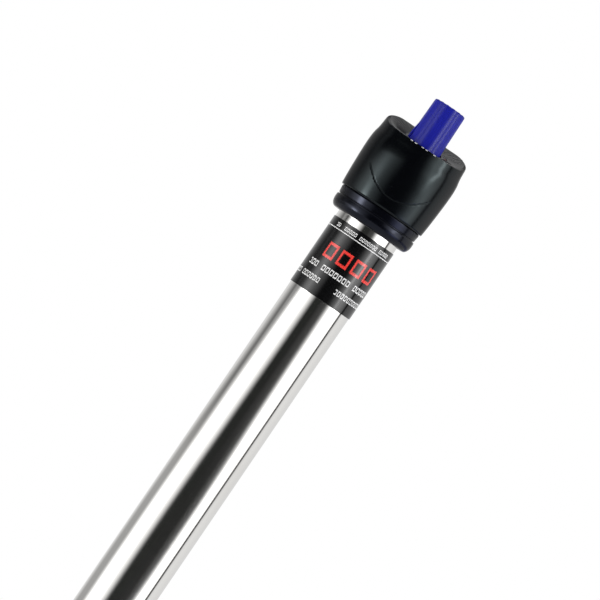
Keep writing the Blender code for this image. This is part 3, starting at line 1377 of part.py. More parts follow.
def shade_by_area():
    """Lets the large faces lead the shading round cuts and edges."""
    for piece in PARTS.objects:
        if piece.type == "MESH":
            shading = piece.modifiers.new("shading", "WEIGHTED_NORMAL")
            shading.keep_sharp = True


build_foot()
build_head()
build_control()
build_thermostat()
build_element()
shade_by_area()
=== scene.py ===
"""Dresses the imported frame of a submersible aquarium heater.

The heater stands on its closed end at the origin. +Z runs up the tube and the front of the head,
where the knob stands, faces -Y. Everything is in metres.
"""

import json
import logging
import math
from collections.abc import Callable
from dataclasses import dataclass, field
from enum import Enum

import bmesh
import bpy
from mathutils import Matrix, Vector


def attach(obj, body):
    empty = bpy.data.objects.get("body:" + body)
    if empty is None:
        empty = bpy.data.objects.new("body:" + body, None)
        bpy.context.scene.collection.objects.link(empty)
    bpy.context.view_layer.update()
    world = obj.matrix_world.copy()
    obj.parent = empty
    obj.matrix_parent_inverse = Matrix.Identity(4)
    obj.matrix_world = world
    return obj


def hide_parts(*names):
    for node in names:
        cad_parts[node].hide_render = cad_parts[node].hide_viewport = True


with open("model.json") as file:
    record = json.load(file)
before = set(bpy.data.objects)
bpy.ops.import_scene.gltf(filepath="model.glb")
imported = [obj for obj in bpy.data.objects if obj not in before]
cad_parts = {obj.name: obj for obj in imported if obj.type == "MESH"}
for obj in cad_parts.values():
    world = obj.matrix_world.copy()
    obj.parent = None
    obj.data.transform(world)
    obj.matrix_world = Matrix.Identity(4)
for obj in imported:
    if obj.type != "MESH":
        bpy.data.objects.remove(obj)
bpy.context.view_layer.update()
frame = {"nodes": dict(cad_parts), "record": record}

LOG = logging.getLogger("heater")
MM = 0.001
WELD = 0.004 * MM  # points nearer than this are one
STRAIGHT = 0.02  # a bend below this, in radians, gets no rounding
FRONT = 270.0  # the front's angle from +X, in degrees
Colour = tuple[float, float, float]
Point = tuple[float, float]  # (radius, height) or (x, y)
Point3 = tuple[float, float, float]
Corner = tuple[float, float, float]  # (radius, height, rounding)
Span = tuple[float, float]  # where a change starts and where it ends
WHITE: Colour = (1.0, 1.0, 1.0)


# ---------------------------------------------------------------------------
# Shared levels of the heater
# ---------------------------------------------------------------------------


@dataclass(frozen=True)
class Levels:
    """Heights and radii that more than one sub-assembly shares.

    Attributes:
        foot: lower face of the clamp nut, over the closed end of the tube.
        nut_top: top of the clamp nut's grip band.
        cap_foot: underside of the cap let into the head.
        top: flat rear of the head's top.
        crease: where the scoop in the top begins, along +Y.
        scoop_front: level of the scoop at the front edge.
        front: radius of the collar's edge, the foremost point of the scoop.
        knob_y: the knob's axis.
        inlet_y: the cord inlet's axis.
        lens: (x, y) of the indicator's axis.
        knob_foot: lower face of the knob.
        knob_top: upper face of the knob.
    """

    foot: float = 338.0 * MM
    nut_top: float = 346.3 * MM
    cap_foot: float = 370.6 * MM
    top: float = 378.0 * MM
    crease: float = 4.0 * MM
    scoop_front: float = 372.5 * MM
    front: float = 17.2 * MM
    knob_y: float = -7.8 * MM
    inlet_y: float = 9.0 * MM
    lens: Point = (8.6 * MM, -5.9 * MM)
    knob_foot: float = 372.4 * MM
    knob_top: float = 390.1 * MM

    @property
    def scoop_radius(self) -> float:
        """Radius of the round scoop across the top.

        Returns:
            The radius.
        """
        run = self.front + self.crease
        drop = self.top - self.scoop_front
        return (run**2 + drop**2) / (2 * drop)

    def scoop_level(self, y: float) -> float:
        """Finds the height of the scooped top.

        Args:
            y: distance behind the tube's axis.

        Returns:
            The height there.
        """
        radius = self.scoop_radius
        return self.scoop_front + radius - math.sqrt(radius**2 - (y + self.front) ** 2)


LEVELS = Levels()


# ---------------------------------------------------------------------------
# Modelling by operators
# ---------------------------------------------------------------------------


def clear_selection() -> None:
    """Leaves nothing selected, so an operator acts on what is picked next."""
    bpy.ops.object.select_all(action="DESELECT")


def take(piece: bpy.types.Object) -> None:
    """Makes one object the only selected and the active one.

    Args:
        piece: the object.
    """
    clear_selection()
    piece.select_set(True)
    bpy.context.view_layer.objects.active = piece


def freeze(piece: bpy.types.Object) -> None:
    """Takes one object and moves its place, turn and scale into its mesh."""
    take(piece)
    bpy.ops.object.transform_apply(location=True, rotation=True, scale=True)


def named(name: str) -> bpy.types.Object:
    """Gives the object that an operator has just added its name.

    Args:
        name: the piece's name, which its mesh gets too.

    Returns:
        The active object.
    """
    piece = bpy.context.active_object
    piece.name = name
    piece.data.name = name
    return piece


def heading(turn: float) -> Vector:
    """Level direction at an angle from the front, in degrees to the right."""
    return Vector((math.sin(math.radians(turn)), -math.cos(math.radians(turn)), 0.0))


def outward(piece: bpy.types.Object) -> None:
    """Merges doubles and turns every face outwards.

    Args:
        piece: the closed piece.
    """
    take(piece)
    bpy.ops.object.mode_set(mode="EDIT")
    bpy.ops.mesh.select_all(action="SELECT")
    bpy.ops.mesh.remove_doubles(threshold=WELD)
    bpy.ops.mesh.normals_make_consistent(inside=False)
    bpy.ops.object.mode_set(mode="OBJECT")


def pick(piece: bpy.types.Object, wanted: Callable[[bmesh.types.BMVert], bool]) -> None:
    """Selects points of a piece in edit mode, and the edges and faces between them.

    Args:
        piece: the piece, in edit mode.
        wanted: says of a point whether it is picked.
    """
    bpy.ops.mesh.select_all(action="DESELECT")
    shape = bmesh.from_edit_mesh(piece.data)
    shape.verts.index_update()
    for spot in shape.verts:
        spot.select = wanted(spot)
    shape.select_flush(True)
    bmesh.update_edit_mesh(piece.data)


def extrude_ring(radius: float, level: float, old: Point, middle: Point) -> None:
    """Extrudes the selected ring to a new radius and height.

    Args:
        radius: the new ring's radius.
        level: the new ring's height.
        old: radius and height of the selected ring.
        middle: (x, y) of the axis.
    """
    lift = (0.0, 0.0, level - old[1])
    bpy.ops.mesh.extrude_region_move(TRANSFORM_OT_translate={"value": lift})
    if radius < WELD:
        bpy.ops.mesh.merge(type="CENTER")
    elif radius != old[0]:
        share = radius / old[0]
        bpy.ops.transform.resize(value=(share, share, 1.0), center_override=(*middle, level))


def turned(
    name: str, profile: list[Point], sides: int, middle: Point = (0.0, 0.0)
) -> bpy.types.Object:
    """Raises a round piece ring by ring along a profile.

    Args:
        name: the piece's name.
        profile: (radius, height) points. A solid's starts and ends on the axis, and a hollow
            ring's comes back to its first point.
        sides: facets round the axis.
        middle: (x, y) of the axis.

    Returns:
        The closed piece.
    """
    start = 1 if profile[0][0] < WELD else 0
    first = profile[start]
    clear_selection()
    bpy.ops.mesh.primitive_circle_add(vertices=sides, radius=first[0], location=(*middle, first[1]))
    piece = named(name)
    freeze(piece)
    bpy.ops.object.mode_set(mode="EDIT")
    bpy.ops.mesh.select_all(action="SELECT")
    old = first
    for radius, level in profile[start + 1 :]:
        extrude_ring(radius, level, old, middle)
        old = (radius, level)
    if start:
        pick(piece, lambda spot: spot.index < sides)
        extrude_ring(0.0, profile[0][1], first, middle)
    bpy.ops.object.mode_set(mode="OBJECT")
    outward(piece)
    return piece


def rounded(corners: list[Corner], steps: int = 4) -> list[Point]:
    """Rounds the corners of an open (radius, height) profile.

    Args:
        corners: (radius, height, rounding) of each corner.
        steps: facets of each rounding.

    Returns:
        The profile's points, with an arc in place of each rounded corner.
    """
    points: list[Point] = []
    last = len(corners) - 1
    for i, (r, z, rounding) in enumerate(corners):
        if rounding <= 0.0 or i in (0, last):
            points.append((r, z))
            continue
        here = Vector((r, z))
        before = (Vector(corners[i - 1][:2]) - here).normalized()
        after = (Vector(corners[i + 1][:2]) - here).normalized()
        opening = before.angle(after)
        if opening > math.pi - STRAIGHT:
            points.append((r, z))
            continue
        reach = rounding / math.tan(opening / 2)
        hub = here + (before + after).normalized() * (rounding / math.sin(opening / 2))
        sweep_from = here + before * reach - hub
        sweep_to = here + after * reach - hub
        whole = sweep_from.angle(sweep_to)
        for k in range(steps + 1):
            share = k / steps
            first = math.sin((1 - share) * whole) / math.sin(whole)
            second = math.sin(share * whole) / math.sin(whole)
            points.append(tuple(hub + sweep_from * first + sweep_to * second))
    return points


def block(name: str, low: Vector, high: Vector) -> bpy.types.Object:
    """Adds a block, as the start of a piece.

    Args:
        name: the block's name.
        low: its lowest corner.
        high: its highest corner.

    Returns:
        The block.
    """
    clear_selection()
    bpy.ops.mesh.primitive_cube_add(size=1.0, location=(low + high) / 2)
    piece = named(name)
    piece.scale = high - low
    freeze(piece)
    return piece


def bar(
    name: str,
    radius: float,
    length: float,
    middle: Vector,
    sides: int,
    turn: Point3 = (0.0, 0.0, 0.0),
) -> bpy.types.Object:
    """Adds a round bar, as the start of a cutter.

    Args:
        name: the bar's name.
        radius: its radius.
        length: its length, along Z before it is turned.
        middle: its middle.
        sides: facets round it.
        turn: rotation about each axis, in radians.

    Returns:
        The bar.
    """
    clear_selection()
    bpy.ops.mesh.primitive_cylinder_add(
        vertices=sides, radius=radius, depth=length, location=middle, rotation=turn
    )
    piece = named(name)
    freeze(piece)
    return piece


def cut(
    piece: bpy.types.Object, cutter: bpy.types.Object, keep: bool = False, how: str = "DIFFERENCE"
) -> None:
    """Cuts a piece with a cutter, or joins the two, for good.

    Args:
        piece: what is cut.
        cutter: what cuts it.
        keep: True when the cutter is needed again.
        how: the boolean operation.
    """
    step = piece.modifiers.new("cut", "BOOLEAN")
    step.operation = how
    step.object = cutter
    step.solver = "EXACT"
    take(piece)
    bpy.ops.object.modifier_apply(modifier=step.name)
    if not keep:
        bpy.data.objects.remove(cutter, do_unlink=True)


def soften(piece: bpy.types.Object, width: float, angle: float = 38.0, segments: int = 2) -> None:
    """Bevels a piece's sharp edges for good.

    Args:
        piece: the piece.
        width: width of the bevel.
        angle: smallest angle that counts as sharp, in degrees.
        segments: facets of the bevel.
    """
    step = piece.modifiers.new("soften", "BEVEL")
    step.width = width
    step.segments = segments
    step.limit_method = "ANGLE"
    step.angle_limit = math.radians(angle)
    step.use_clamp_overlap = True
    take(piece)
    bpy.ops.object.modifier_apply(modifier=step.name)


def smooth(piece: bpy.types.Object, angle: float = 35.0) -> None:
    """Shades a piece smooth up to an angle, and weighs its normals by area.

    Args:
        piece: the piece.
        angle: largest angle between faces that is shaded over, in degrees.
    """
    take(piece)
    bpy.ops.object.shade_smooth_by_angle(angle=math.radians(angle))
    step = piece.modifiers.new("weigh", "WEIGHTED_NORMAL")
    step.keep_sharp = True
    bpy.ops.object.modifier_apply(modifier=step.name)


def join(pieces: list[bpy.types.Object], name: str) -> bpy.types.Object:
    """Joins separate objects into one piece.

    Args:
        pieces: the objects.
        name: the piece's name.

    Returns:
        The piece.
    """
    take(pieces[0])
    for other in pieces[1:]:
        other.select_set(True)
    bpy.ops.object.join()
    return named(name)


def repeated(piece: bpy.types.Object, places: list[Matrix], name: str) -> bpy.types.Object:
    """Copies a finished shape to several places, each copy with its own mesh, and joins them.

    Args:
        piece: the shape, which is used up.
        places: where each copy goes, as a move from the shape's own place.
        name: the joined piece's name.

    Returns:
        The joined piece.
    """
    made = []
    for place in places:
        other = piece.copy()
        other.data = piece.data.copy()
        other.data.transform(place)
        bpy.context.scene.collection.objects.link(other)
        made.append(other)
    bpy.data.objects.remove(piece, do_unlink=True)
    return join(made, name)


def swept(name: str, points: list[Vector], radius: float, sides: int) -> bpy.types.Object:
    """Sweeps a round bar along points and makes it a mesh.

    Args:
        name: the bar's name.
        points: points along its middle.
        radius: its radius.
        sides: facets in a quarter of its round.

    Returns:
        The closed bar.
    """
    data = bpy.data.curves.new(name, "CURVE")
    data.dimensions = "3D"
    data.bevel_depth = radius
    data.bevel_resolution = sides
    data.use_fill_caps = True
    line = data.splines.new("POLY")
    line.points.add(len(points) - 1)
    for spot, point in zip(line.points, points):
        spot.co = (*point, 1.0)
    rod = bpy.data.objects.new(name, data)
    bpy.context.scene.collection.objects.link(rod)
    take(rod)
    bpy.ops.object.convert(target="MESH")
    rod = named(name)
    outward(rod)
    return rod


def settle(
    piece: bpy.types.Object, finish: bpy.types.Material, body: str, slot: str, *nodes: str
) -> None:
    """Gives a finished piece its material, its body and the nodes it stands for.

    Args:
        piece: the finished piece.
        finish: its material.
        body: the CAD body it rides on.
        slot: the record's material slot; not used.
        nodes: CAD nodes that it replaces.
    """
    piece.data.materials.clear()
    piece.data.materials.append(finish)
    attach(piece, body)
    if nodes:
        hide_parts(*nodes)
    LOG.info("%s: %d faces on %s", piece.name, len(piece.data.polygons), body)


# ---------------------------------------------------------------------------
# Shader node groups
# ---------------------------------------------------------------------------


class Sheet:
    """A node tree with short ways to add nodes and join them."""

    def __init__(self, tree: bpy.types.NodeTree) -> None:
        """Keeps the tree that nodes are added to."""
        self.tree = tree

    def add(self, kind: str, **settings: object) -> bpy.types.Node:
        """Adds a node.

        Args:
            kind: the node's type.
            settings: its properties.

        Returns:
            The node.
        """
        node = self.tree.nodes.new(kind)
        for key, value in settings.items():
            setattr(node, key, value)
        return node

    def feed(self, socket: bpy.types.NodeSocket, value: object) -> None:
        """Joins a socket to another, or sets its value.

        Args:
            socket: the input.
            value: an output, or a number, vector or colour.
        """
        if isinstance(value, bpy.types.NodeSocket):
            self.tree.links.new(value, socket)
        else:
            socket.default_value = (*value, 1.0) if socket.type == "RGBA" else value

    def group(self, tree: bpy.types.NodeTree, **values: object) -> bpy.types.Node:
        """Adds a node group.

        Args:
            tree: the group.
            values: its inputs, by their labels.

        Returns:
            The node.
        """
        node = self.add("ShaderNodeGroup", node_tree=tree)
        for label, value in values.items():
            self.feed(node.inputs[label], value)
        return node

    def math(self, operation: str, *values: object) -> bpy.types.NodeSocket:
        """Adds a Math node.

        Args:
            operation: the node's operation.
            values: its inputs, sockets or numbers.

        Returns:
            The result's socket.
        """
        node = self.add("ShaderNodeMath", operation=operation)
        for socket, value in zip(node.inputs, values):
            self.feed(socket, value)
        return node.outputs[0]

    def vector(self, operation: str, first: object, second: object) -> bpy.types.NodeSocket:
        """Adds a Vector Math node.

        Args:
            operation: the node's operation.
            first: a vector or a socket.
            second: a vector or a socket, or the scale.

        Returns:
            The result's socket.
        """
        node = self.add("ShaderNodeVectorMath", operation=operation)
        self.feed(node.inputs[0], first)
        self.feed(node.inputs["Scale" if operation == "SCALE" else 1], second)
        return node.outputs[0]

    def bearing(self, place: object) -> tuple[bpy.types.NodeSocket, bpy.types.NodeSocket]:
        """Finds where a place lies round the Z axis.

        Args:
            place: the coordinates.

        Returns:
            The angle in degrees, 0 at the front and + to the right, and the height.
        """
        split = self.add("ShaderNodeSeparateXYZ")
        self.feed(split.inputs[0], place)
        ahead = self.math("MULTIPLY", split.outputs["Y"], -1.0)
        turn = self.math("ARCTAN2", split.outputs["X"], ahead)
        return self.math("MULTIPLY", turn, math.degrees(1.0)), split.outputs["Z"]

    def either(self, share: object, first: object, second: object) -> bpy.types.NodeSocket:
        """Mixes two numbers.

        Args:
            share: how much of the second counts.
            first: a number or a socket.
            second: a number or a socket.

        Returns:
            The mixed number.
        """
        node = self.add("ShaderNodeMix", data_type="FLOAT")
        for slot, value in zip((0, 2, 3), (share, first, second)):
            self.feed(node.inputs[slot], value)
        return node.outputs[0]

    def between(
        self, value: object, low: object, high: object, start: float = 0.0, end: float = 1.0
    ) -> bpy.types.NodeSocket:
        """Maps a value smoothly from one range to another, and holds it at the ends.

        Args:
            value: a number or a socket.
            low: where the change starts.
            high: where it ends.
            start: the result up to the low end.
            end: the result from the high end on.

        Returns:
            The mapped value.
        """
        node = self.add("ShaderNodeMapRange", interpolation_type="SMOOTHSTEP")
        for socket, given in zip(node.inputs, (value, low, high, start, end)):
            self.feed(socket, given)
        return node.outputs[0]

    def blend(self, share: object, first: object, second: object) -> bpy.types.NodeSocket:
        """Mixes two colours.

        Args:
            share: how much of the second shows.
            first: a colour or a socket.
            second: a colour or a socket.

        Returns:
            The mixed colour.
        """
        node = self.add("ShaderNodeMix", data_type="RGBA")
        inputs = [s for s in node.inputs if s.type == "RGBA"]
        self.feed(node.inputs[0], share)
        for socket, value in zip(inputs, (first, second)):
            self.feed(socket, value)
        return next(s for s in node.outputs if s.type == "RGBA")

    def noise(
        self, place: object, scale: float, detail: float = 2.0, stretch: Point3 | None = None
    ) -> bpy.types.NodeSocket:
        """Adds noise over a place.

        Args:
            place: the coordinates.
            scale: how fine it is, in cells to the metre.
            detail: how many finer layers it has.
            stretch: scale along each axis, for lines.

        Returns:
            The noise, around 0.5.
        """
        if stretch:
            turn = self.add("ShaderNodeMapping")
            self.feed(turn.inputs["Scale"], stretch)
            self.feed(turn.inputs["Vector"], place)
            place = turn.outputs[0]
        node = self.add("ShaderNodeTexNoise")
        for label, value in (("Scale", scale), ("Detail", detail), ("Vector", place)):
            self.feed(node.inputs[label], value)
        return node.outputs[0]

    def place(self) -> bpy.types.NodeSocket:
        """The object's own coordinates."""
        return self.add("ShaderNodeTexCoord").outputs["Object"]


def new_group(
    name: str, inputs: dict[str, str], outputs: dict[str, str]
) -> tuple[Sheet, bpy.types.Node, bpy.types.Node]:
    """Makes a shader node group. Whoever adds it feeds every input.

    Args:
        name: the group's name.
        inputs: each input's socket kind.
        outputs: each output's socket kind.

    Returns:
        The sheet of its tree, its input node and its output node.
    """
    tree = bpy.data.node_groups.new(name, "ShaderNodeTree")
    for way, sockets in (("INPUT", inputs), ("OUTPUT", outputs)):
        for label, kind in sockets.items():
            kind = f"NodeSocket{kind}"
            tree.interface.new_socket(name=label, in_out=way, socket_type=kind)
    sheet = Sheet(tree)
    return sheet, sheet.add("NodeGroupInput"), sheet.add("NodeGroupOutput")


UNEVEN = 90.0  # cells of the uneven gloss and the waves, to the metre
GRAIN = 2600.0  # cells of the fine grain
GRAIN_DEPTH = 0.12  # its share of the relief
DUST = 1500.0  # cells of the dust
DUST_FROM: Span = (0.66, 0.76)  # noise from which a speck shows
DUST_COVER = 0.35  # how much a speck covers
DUST_MATT = 0.12  # how much rougher it is


def moulded_skin() -> bpy.types.NodeTree:
    """Group: the uneven gloss, fine dust and faint waves of moulded plastic or rubber.

    Returns:
        The group.
    """
    sheet, given, put = new_group(
        "moulded_skin",
        {
            "Colour": "Color",
            "Worn": "Color",
            "Roughness": "Float",
            "Spread": "Float",
            "Waves": "Float",
        },
        {"Colour": "Color", "Roughness": "Float", "Height": "Float"},
    )
    place = sheet.place()
    broad = sheet.noise(place, UNEVEN)
    fine = sheet.noise(place, GRAIN, 3.0)
    specks = sheet.between(sheet.noise(place, DUST, 4.0), *DUST_FROM)
    share = sheet.math("MULTIPLY", specks, DUST_COVER)
    colour = sheet.blend(share, given.outputs["Colour"], given.outputs["Worn"])
    sheet.feed(put.inputs["Colour"], colour)
    swing = sheet.math("MULTIPLY", sheet.math("SUBTRACT", broad, 0.5), given.outputs["Spread"])
    level = sheet.math("ADD", given.outputs["Roughness"], swing)
    sheet.feed(put.inputs["Roughness"], sheet.math("MULTIPLY_ADD", specks, DUST_MATT, level))
    waves = sheet.math("MULTIPLY", broad, given.outputs["Waves"])
    sheet.feed(put.inputs["Height"], sheet.math("MULTIPLY_ADD", fine, GRAIN_DEPTH, waves))
    return sheet.tree


LINES = 900.0  # drawn lines to the metre, round the piece
LINES_ALONG: Point3 = (1.0, 1.0, 0.012)  # their scale along each axis
STAINS = 60.0  # cells of the stains
STAINS_ALONG: Point3 = (1.0, 1.0, 0.4)  # their scale along each axis
STAIN_FROM: Span = (0.45, 0.8)  # noise from which a stain shows
STAIN_COVER = 0.45  # how much it covers
STAIN_MATT = 0.03  # how much rougher it is


def drawn_metal() -> bpy.types.NodeTree:
    """Group: fine lines along Z, faint stains and uneven polish of drawn or turned metal.

    Returns:
        The group.
    """
    sheet, given, put = new_group(
        "drawn_metal",
        {"Colour": "Color", "Stain": "Color", "Roughness": "Float", "Lines": "Float"},
        {"Colour": "Color", "Roughness": "Float", "Height": "Float"},
    )
    place = sheet.place()
    lines = sheet.noise(place, LINES, 3.0, LINES_ALONG)
    cloud = sheet.noise(place, STAINS, 3.0, STAINS_ALONG)
    share = sheet.math("MULTIPLY", sheet.between(cloud, *STAIN_FROM), STAIN_COVER)
    colour = sheet.blend(share, given.outputs["Colour"], given.outputs["Stain"])
    sheet.feed(put.inputs["Colour"], colour)
    swing = sheet.math("MULTIPLY", sheet.math("SUBTRACT", lines, 0.5), given.outputs["Lines"])
    level = sheet.math("ADD", given.outputs["Roughness"], swing)
    sheet.feed(put.inputs["Roughness"], sheet.math("MULTIPLY_ADD", cloud, STAIN_MATT, level))
    sheet.feed(put.inputs["Height"], lines)
    return sheet.tree


def round_place() -> bpy.types.NodeTree:
    """Group: angle round the tube's axis in degrees, 0 at the front and + to the right, and height.

    Returns:
        The group.
    """
    sheet, _, put = new_group("round_place", {}, {"Angle": "Float", "Height": "Float"})
    angle, height = sheet.bearing(sheet.place())
    sheet.feed(put.inputs["Angle"], angle)
    sheet.feed(put.inputs["Height"], height)
    return sheet.tree


STROKE_BLUR = 0.04  # softness of a box's strokes, as a share of the box
BOX_BLUR = 0.03  # the same for its two sides
HEIGHT_BLUR = 0.05 * MM  # softness of a row's lower and upper edge
ANGLE_BLUR = 0.2  # softness of a row's ends, in degrees


def print_row() -> bpy.types.NodeTree:
    """Group: mask of a printed row of plain boxes, or of one line.

    Returns:
        The group.
    """
    labels = ("Angle", "Height", "Foot", "Top", "From", "To", "Pitch", "Fill", "Stroke", "Gaps")
    inputs = {label: "Float" for label in labels}
    sheet, given, put = new_group("print_row", inputs, {"Mask": "Float"})
    angle, height = given.outputs["Angle"], given.outputs["Height"]
    foot, top = given.outputs["Foot"], given.outputs["Top"]
    tall = sheet.math("SUBTRACT", top, foot)
    up = sheet.math("DIVIDE", sheet.math("SUBTRACT", height, foot), tall)
    along = sheet.math("ADD", sheet.math("DIVIDE", angle, given.outputs["Pitch"]), 0.5)
    across = sheet.math("DIVIDE", sheet.math("FRACT", along), given.outputs["Fill"])
    chance = sheet.add("ShaderNodeTexWhiteNoise", noise_dimensions="1D")
    which = sheet.math("ADD", sheet.math("FLOOR", along), given.outputs["Pitch"])
    sheet.feed(chance.inputs["W"], which)
    shown = sheet.math("GREATER_THAN", chance.outputs["Value"], given.outputs["Gaps"])
    inwards = [sheet.math("MINIMUM", way, sheet.math("SUBTRACT", 1.0, way)) for way in (across, up)]
    near = sheet.math("SUBTRACT", given.outputs["Stroke"], sheet.math("MINIMUM", *inwards))
    mask = sheet.math("MULTIPLY", shown, sheet.between(near, -STROKE_BLUR, STROKE_BLUR))
    for low, high, blur in (
        (foot, height, HEIGHT_BLUR),
        (height, top, HEIGHT_BLUR),
        (given.outputs["From"], angle, ANGLE_BLUR),
        (angle, given.outputs["To"], ANGLE_BLUR),
        (0.0, across, BOX_BLUR),
        (across, 1.0, BOX_BLUR),
    ):
        inside = sheet.math("SUBTRACT", high, low)
        mask = sheet.math("MULTIPLY", mask, sheet.between(inside, -blur, blur))
    sheet.feed(put.inputs["Mask"], mask)
    return sheet.tree


class Groups:
    """The shared node groups, each made once."""

    def __init__(self) -> None:
        """Builds every group."""
        self.skin = moulded_skin()
        self.metal = drawn_metal()
        self.round = round_place()
        self.row = print_row()


# ---------------------------------------------------------------------------
# Finishes
# ---------------------------------------------------------------------------


def bare_material(name: str) -> tuple[bpy.types.Material, Sheet, bpy.types.Node]:
    """Makes a material with a Principled shader.

    Args:
        name: the material's name.

    Returns:
        The material, the sheet of its tree and the shader.
    """
    made = bpy.data.materials.new(name)
    made.use_nodes = True
    sheet = Sheet(made.node_tree)
    return made, sheet, made.node_tree.nodes["Principled BSDF"]


def add_bump(
    sheet: Sheet, shader: bpy.types.Node, height: bpy.types.NodeSocket, depth: float
) -> None:
    """Feeds a height to the shader's normal.

    Args:
        sheet: the material's tree.
        shader: the Principled shader.
        height: the height's socket.
        depth: how deep the full height is, in metres.
    """
    bump = sheet.add("ShaderNodeBump")
    for label, value in (("Strength", 1.0), ("Distance", depth), ("Height", height)):
        sheet.feed(bump.inputs[label], value)
    sheet.feed(shader.inputs["Normal"], bump.outputs[0])


@dataclass(frozen=True)
class Skin:
    """What every plastic, rubber or film surface has: uneven gloss, fine dust and faint waves.

    Attributes:
        name: the material's name.
        colour: its colour.
        worn: colour of its dust and scuffs.
        roughness: mean roughness.
        spread: how much the roughness varies.
        waves: depth of broad waves against the fine grain.
        depth: depth of the whole relief, in metres.
        gloss: the shader's specular level, seen square on.
    """

    name: str
    colour: Colour
    worn: Colour
    roughness: float
    spread: float = 0.06
    waves: float = 0.3
    depth: float = 0.01 * MM
    gloss: float = 0.5

    def lay(self, sheet: Sheet, shader: bpy.types.Node, groups: Groups) -> bpy.types.NodeSocket:
        """Gives the shader the skin's roughness and relief.

        Args:
            sheet: the material's tree.
            shader: the Principled shader.
            groups: the shared node groups.

        Returns:
            The skin's colour.
        """
        skin = sheet.group(
            groups.skin,
            Colour=self.colour,
            Worn=self.worn,
            Roughness=self.roughness,
            Spread=self.spread,
            Waves=self.waves,
        )
        sheet.feed(shader.inputs["Roughness"], skin.outputs["Roughness"])
        add_bump(sheet, shader, skin.outputs["Height"], self.depth)
        return skin.outputs["Colour"]


@dataclass(frozen=True)
class Moulding(Skin):
    """Moulded plastic or rubber.

    Attributes:
        rim_gloss: the share of the gloss that is left at the edge of a round shape.
        rim: where the gloss begins to fall and where it has fallen, by how far the surface
            turns from the eye.
        coat: weight of a clear skin.
        coat_roughness: roughness of that skin.
        tint: colour of its gloss. Where it is not white, it is a painted tint of the light that the
            gloss reflects.
    """

    rim_gloss: float = 0.2
    rim: Span = (0.3, 0.75)
    coat: float = 0.0
    coat_roughness: float = 0.12
    tint: Colour = WHITE

    def build(self, groups: Groups) -> bpy.types.Material:
        """Makes the material.

        Args:
            groups: the shared node groups.

        Returns:
            The material.
        """
        made, sheet, shader = bare_material(self.name)
        sheet.feed(shader.inputs["Base Color"], self.lay(sheet, shader, groups))
        facing = sheet.add("ShaderNodeLayerWeight").outputs["Facing"]
        gloss = sheet.between(facing, *self.rim, self.gloss, self.gloss * self.rim_gloss)
        sheet.feed(shader.inputs["Specular IOR Level"], gloss)
        sheet.feed(shader.inputs["Specular Tint"], self.tint)
        sheet.feed(shader.inputs["Coat Weight"], self.coat)
        sheet.feed(shader.inputs["Coat Roughness"], self.coat_roughness)
        return made


@dataclass(frozen=True)
class Metal:
    """Drawn, turned or plated metal.

    Attributes:
        name: the material's name.
        colour: its colour.
        stain: colour of faint stains.
        roughness: mean roughness.
        lines: how much the roughness varies from line to line.
        depth: depth of the lines, in metres.
    """

    name: str
    colour: Colour
    stain: Colour
    roughness: float
    lines: float = 0.04
    depth: float = 0.002 * MM

    def build(self, groups: Groups) -> bpy.types.Material:
        """Makes the material.

        Args:
            groups: the shared node groups.

        Returns:
            The material.
        """
        made, sheet, shader = bare_material(self.name)
        metal = sheet.group(
            groups.metal,
            Colour=self.colour,
            Stain=self.stain,
            Roughness=self.roughness,
            Lines=self.lines,
        )
        sheet.feed(shader.inputs["Metallic"], 1.0)
        sheet.feed(shader.inputs["Base Color"], metal.outputs["Colour"])
        sheet.feed(shader.inputs["Roughness"], metal.outputs["Roughness"])
        add_bump(sheet, shader, metal.outputs["Height"], self.depth)
        return made


@dataclass(frozen=True)
class PrintedBand:
    """One row of plain boxes or one line printed on the film.

    Attributes:
        foot: lower edge, over the closed end of the tube.
        top: upper edge.
        start: first angle, in degrees to the right of the front.
        end: last angle.
        pitch: angle from box to box.
        fill: share of the pitch that a box takes.
        stroke: width of its strokes, as a share of its size.
        gaps: chance that a box is left out.
        red: True for a red band.
    """

    foot: float
    top: float
    start: float
    end: float
    pitch: float
    fill: float
    stroke: float = 0.2
    gaps: float = 0.14
    red: bool = False


@dataclass(frozen=True)
class PrintedFilm(Skin):
    """Gloss black film with generic printed bands.

    Attributes:
        white: colour of the white print.
        red: colour of the red print.
        bands: the rows and the line.
    """

    name: str = "printed_film"
    colour: Colour = (0.0032, 0.0032, 0.0036)
    worn: Colour = (0.02, 0.02, 0.02)
    roughness: float = 0.11
    spread: float = 0.08
    waves: float = 0.5
    depth: float = 0.008 * MM
    gloss: float = 0.62
    white: Colour = (0.80, 0.80, 0.79)
    red: Colour = (0.80, 0.05, 0.04)
    bands: tuple[PrintedBand, ...] = (
        PrintedBand(332.55 * MM, 333.95 * MM, -52.0, 62.0, 5.0, 0.74, 0.22),
        PrintedBand(331.55 * MM, 331.85 * MM, -180.0, 180.0, 720.0, 1.0, 2.0, 0.0),
        PrintedBand(320.8 * MM, 326.7 * MM, -46.0, 66.0, 27.4, 0.74, 0.17, 0.0, True),
        PrintedBand(316.2 * MM, 318.4 * MM, -58.0, 78.0, 8.0, 0.76),
        PrintedBand(311.5 * MM, 313.5 * MM, -88.0, -15.0, 6.8, 0.74),
        PrintedBand(311.5 * MM, 313.5 * MM, 12.0, 88.0, 7.1, 0.74),
    )

    def build(self, groups: Groups) -> bpy.types.Material:
        """Makes the material.

        Args:
            groups: the shared node groups.

        Returns:
            The material.
        """
        made, sheet, shader = bare_material(self.name)
        colour = self.lay(sheet, shader, groups)
        spot = sheet.group(groups.round)
        for band in self.bands:
            row = sheet.group(
                groups.row,
                Angle=spot.outputs["Angle"],
                Height=spot.outputs["Height"],
                Foot=band.foot,
                Top=band.top,
                From=band.start,
                To=band.end,
                Pitch=band.pitch,
                Fill=band.fill,
                Stroke=band.stroke,
                Gaps=band.gaps,
            )
            ink = self.red if band.red else self.white
            colour = sheet.blend(row.outputs["Mask"], colour, ink)
        sheet.feed(shader.inputs["Base Color"], colour)
        sheet.feed(shader.inputs["Specular IOR Level"], self.gloss)
        return made


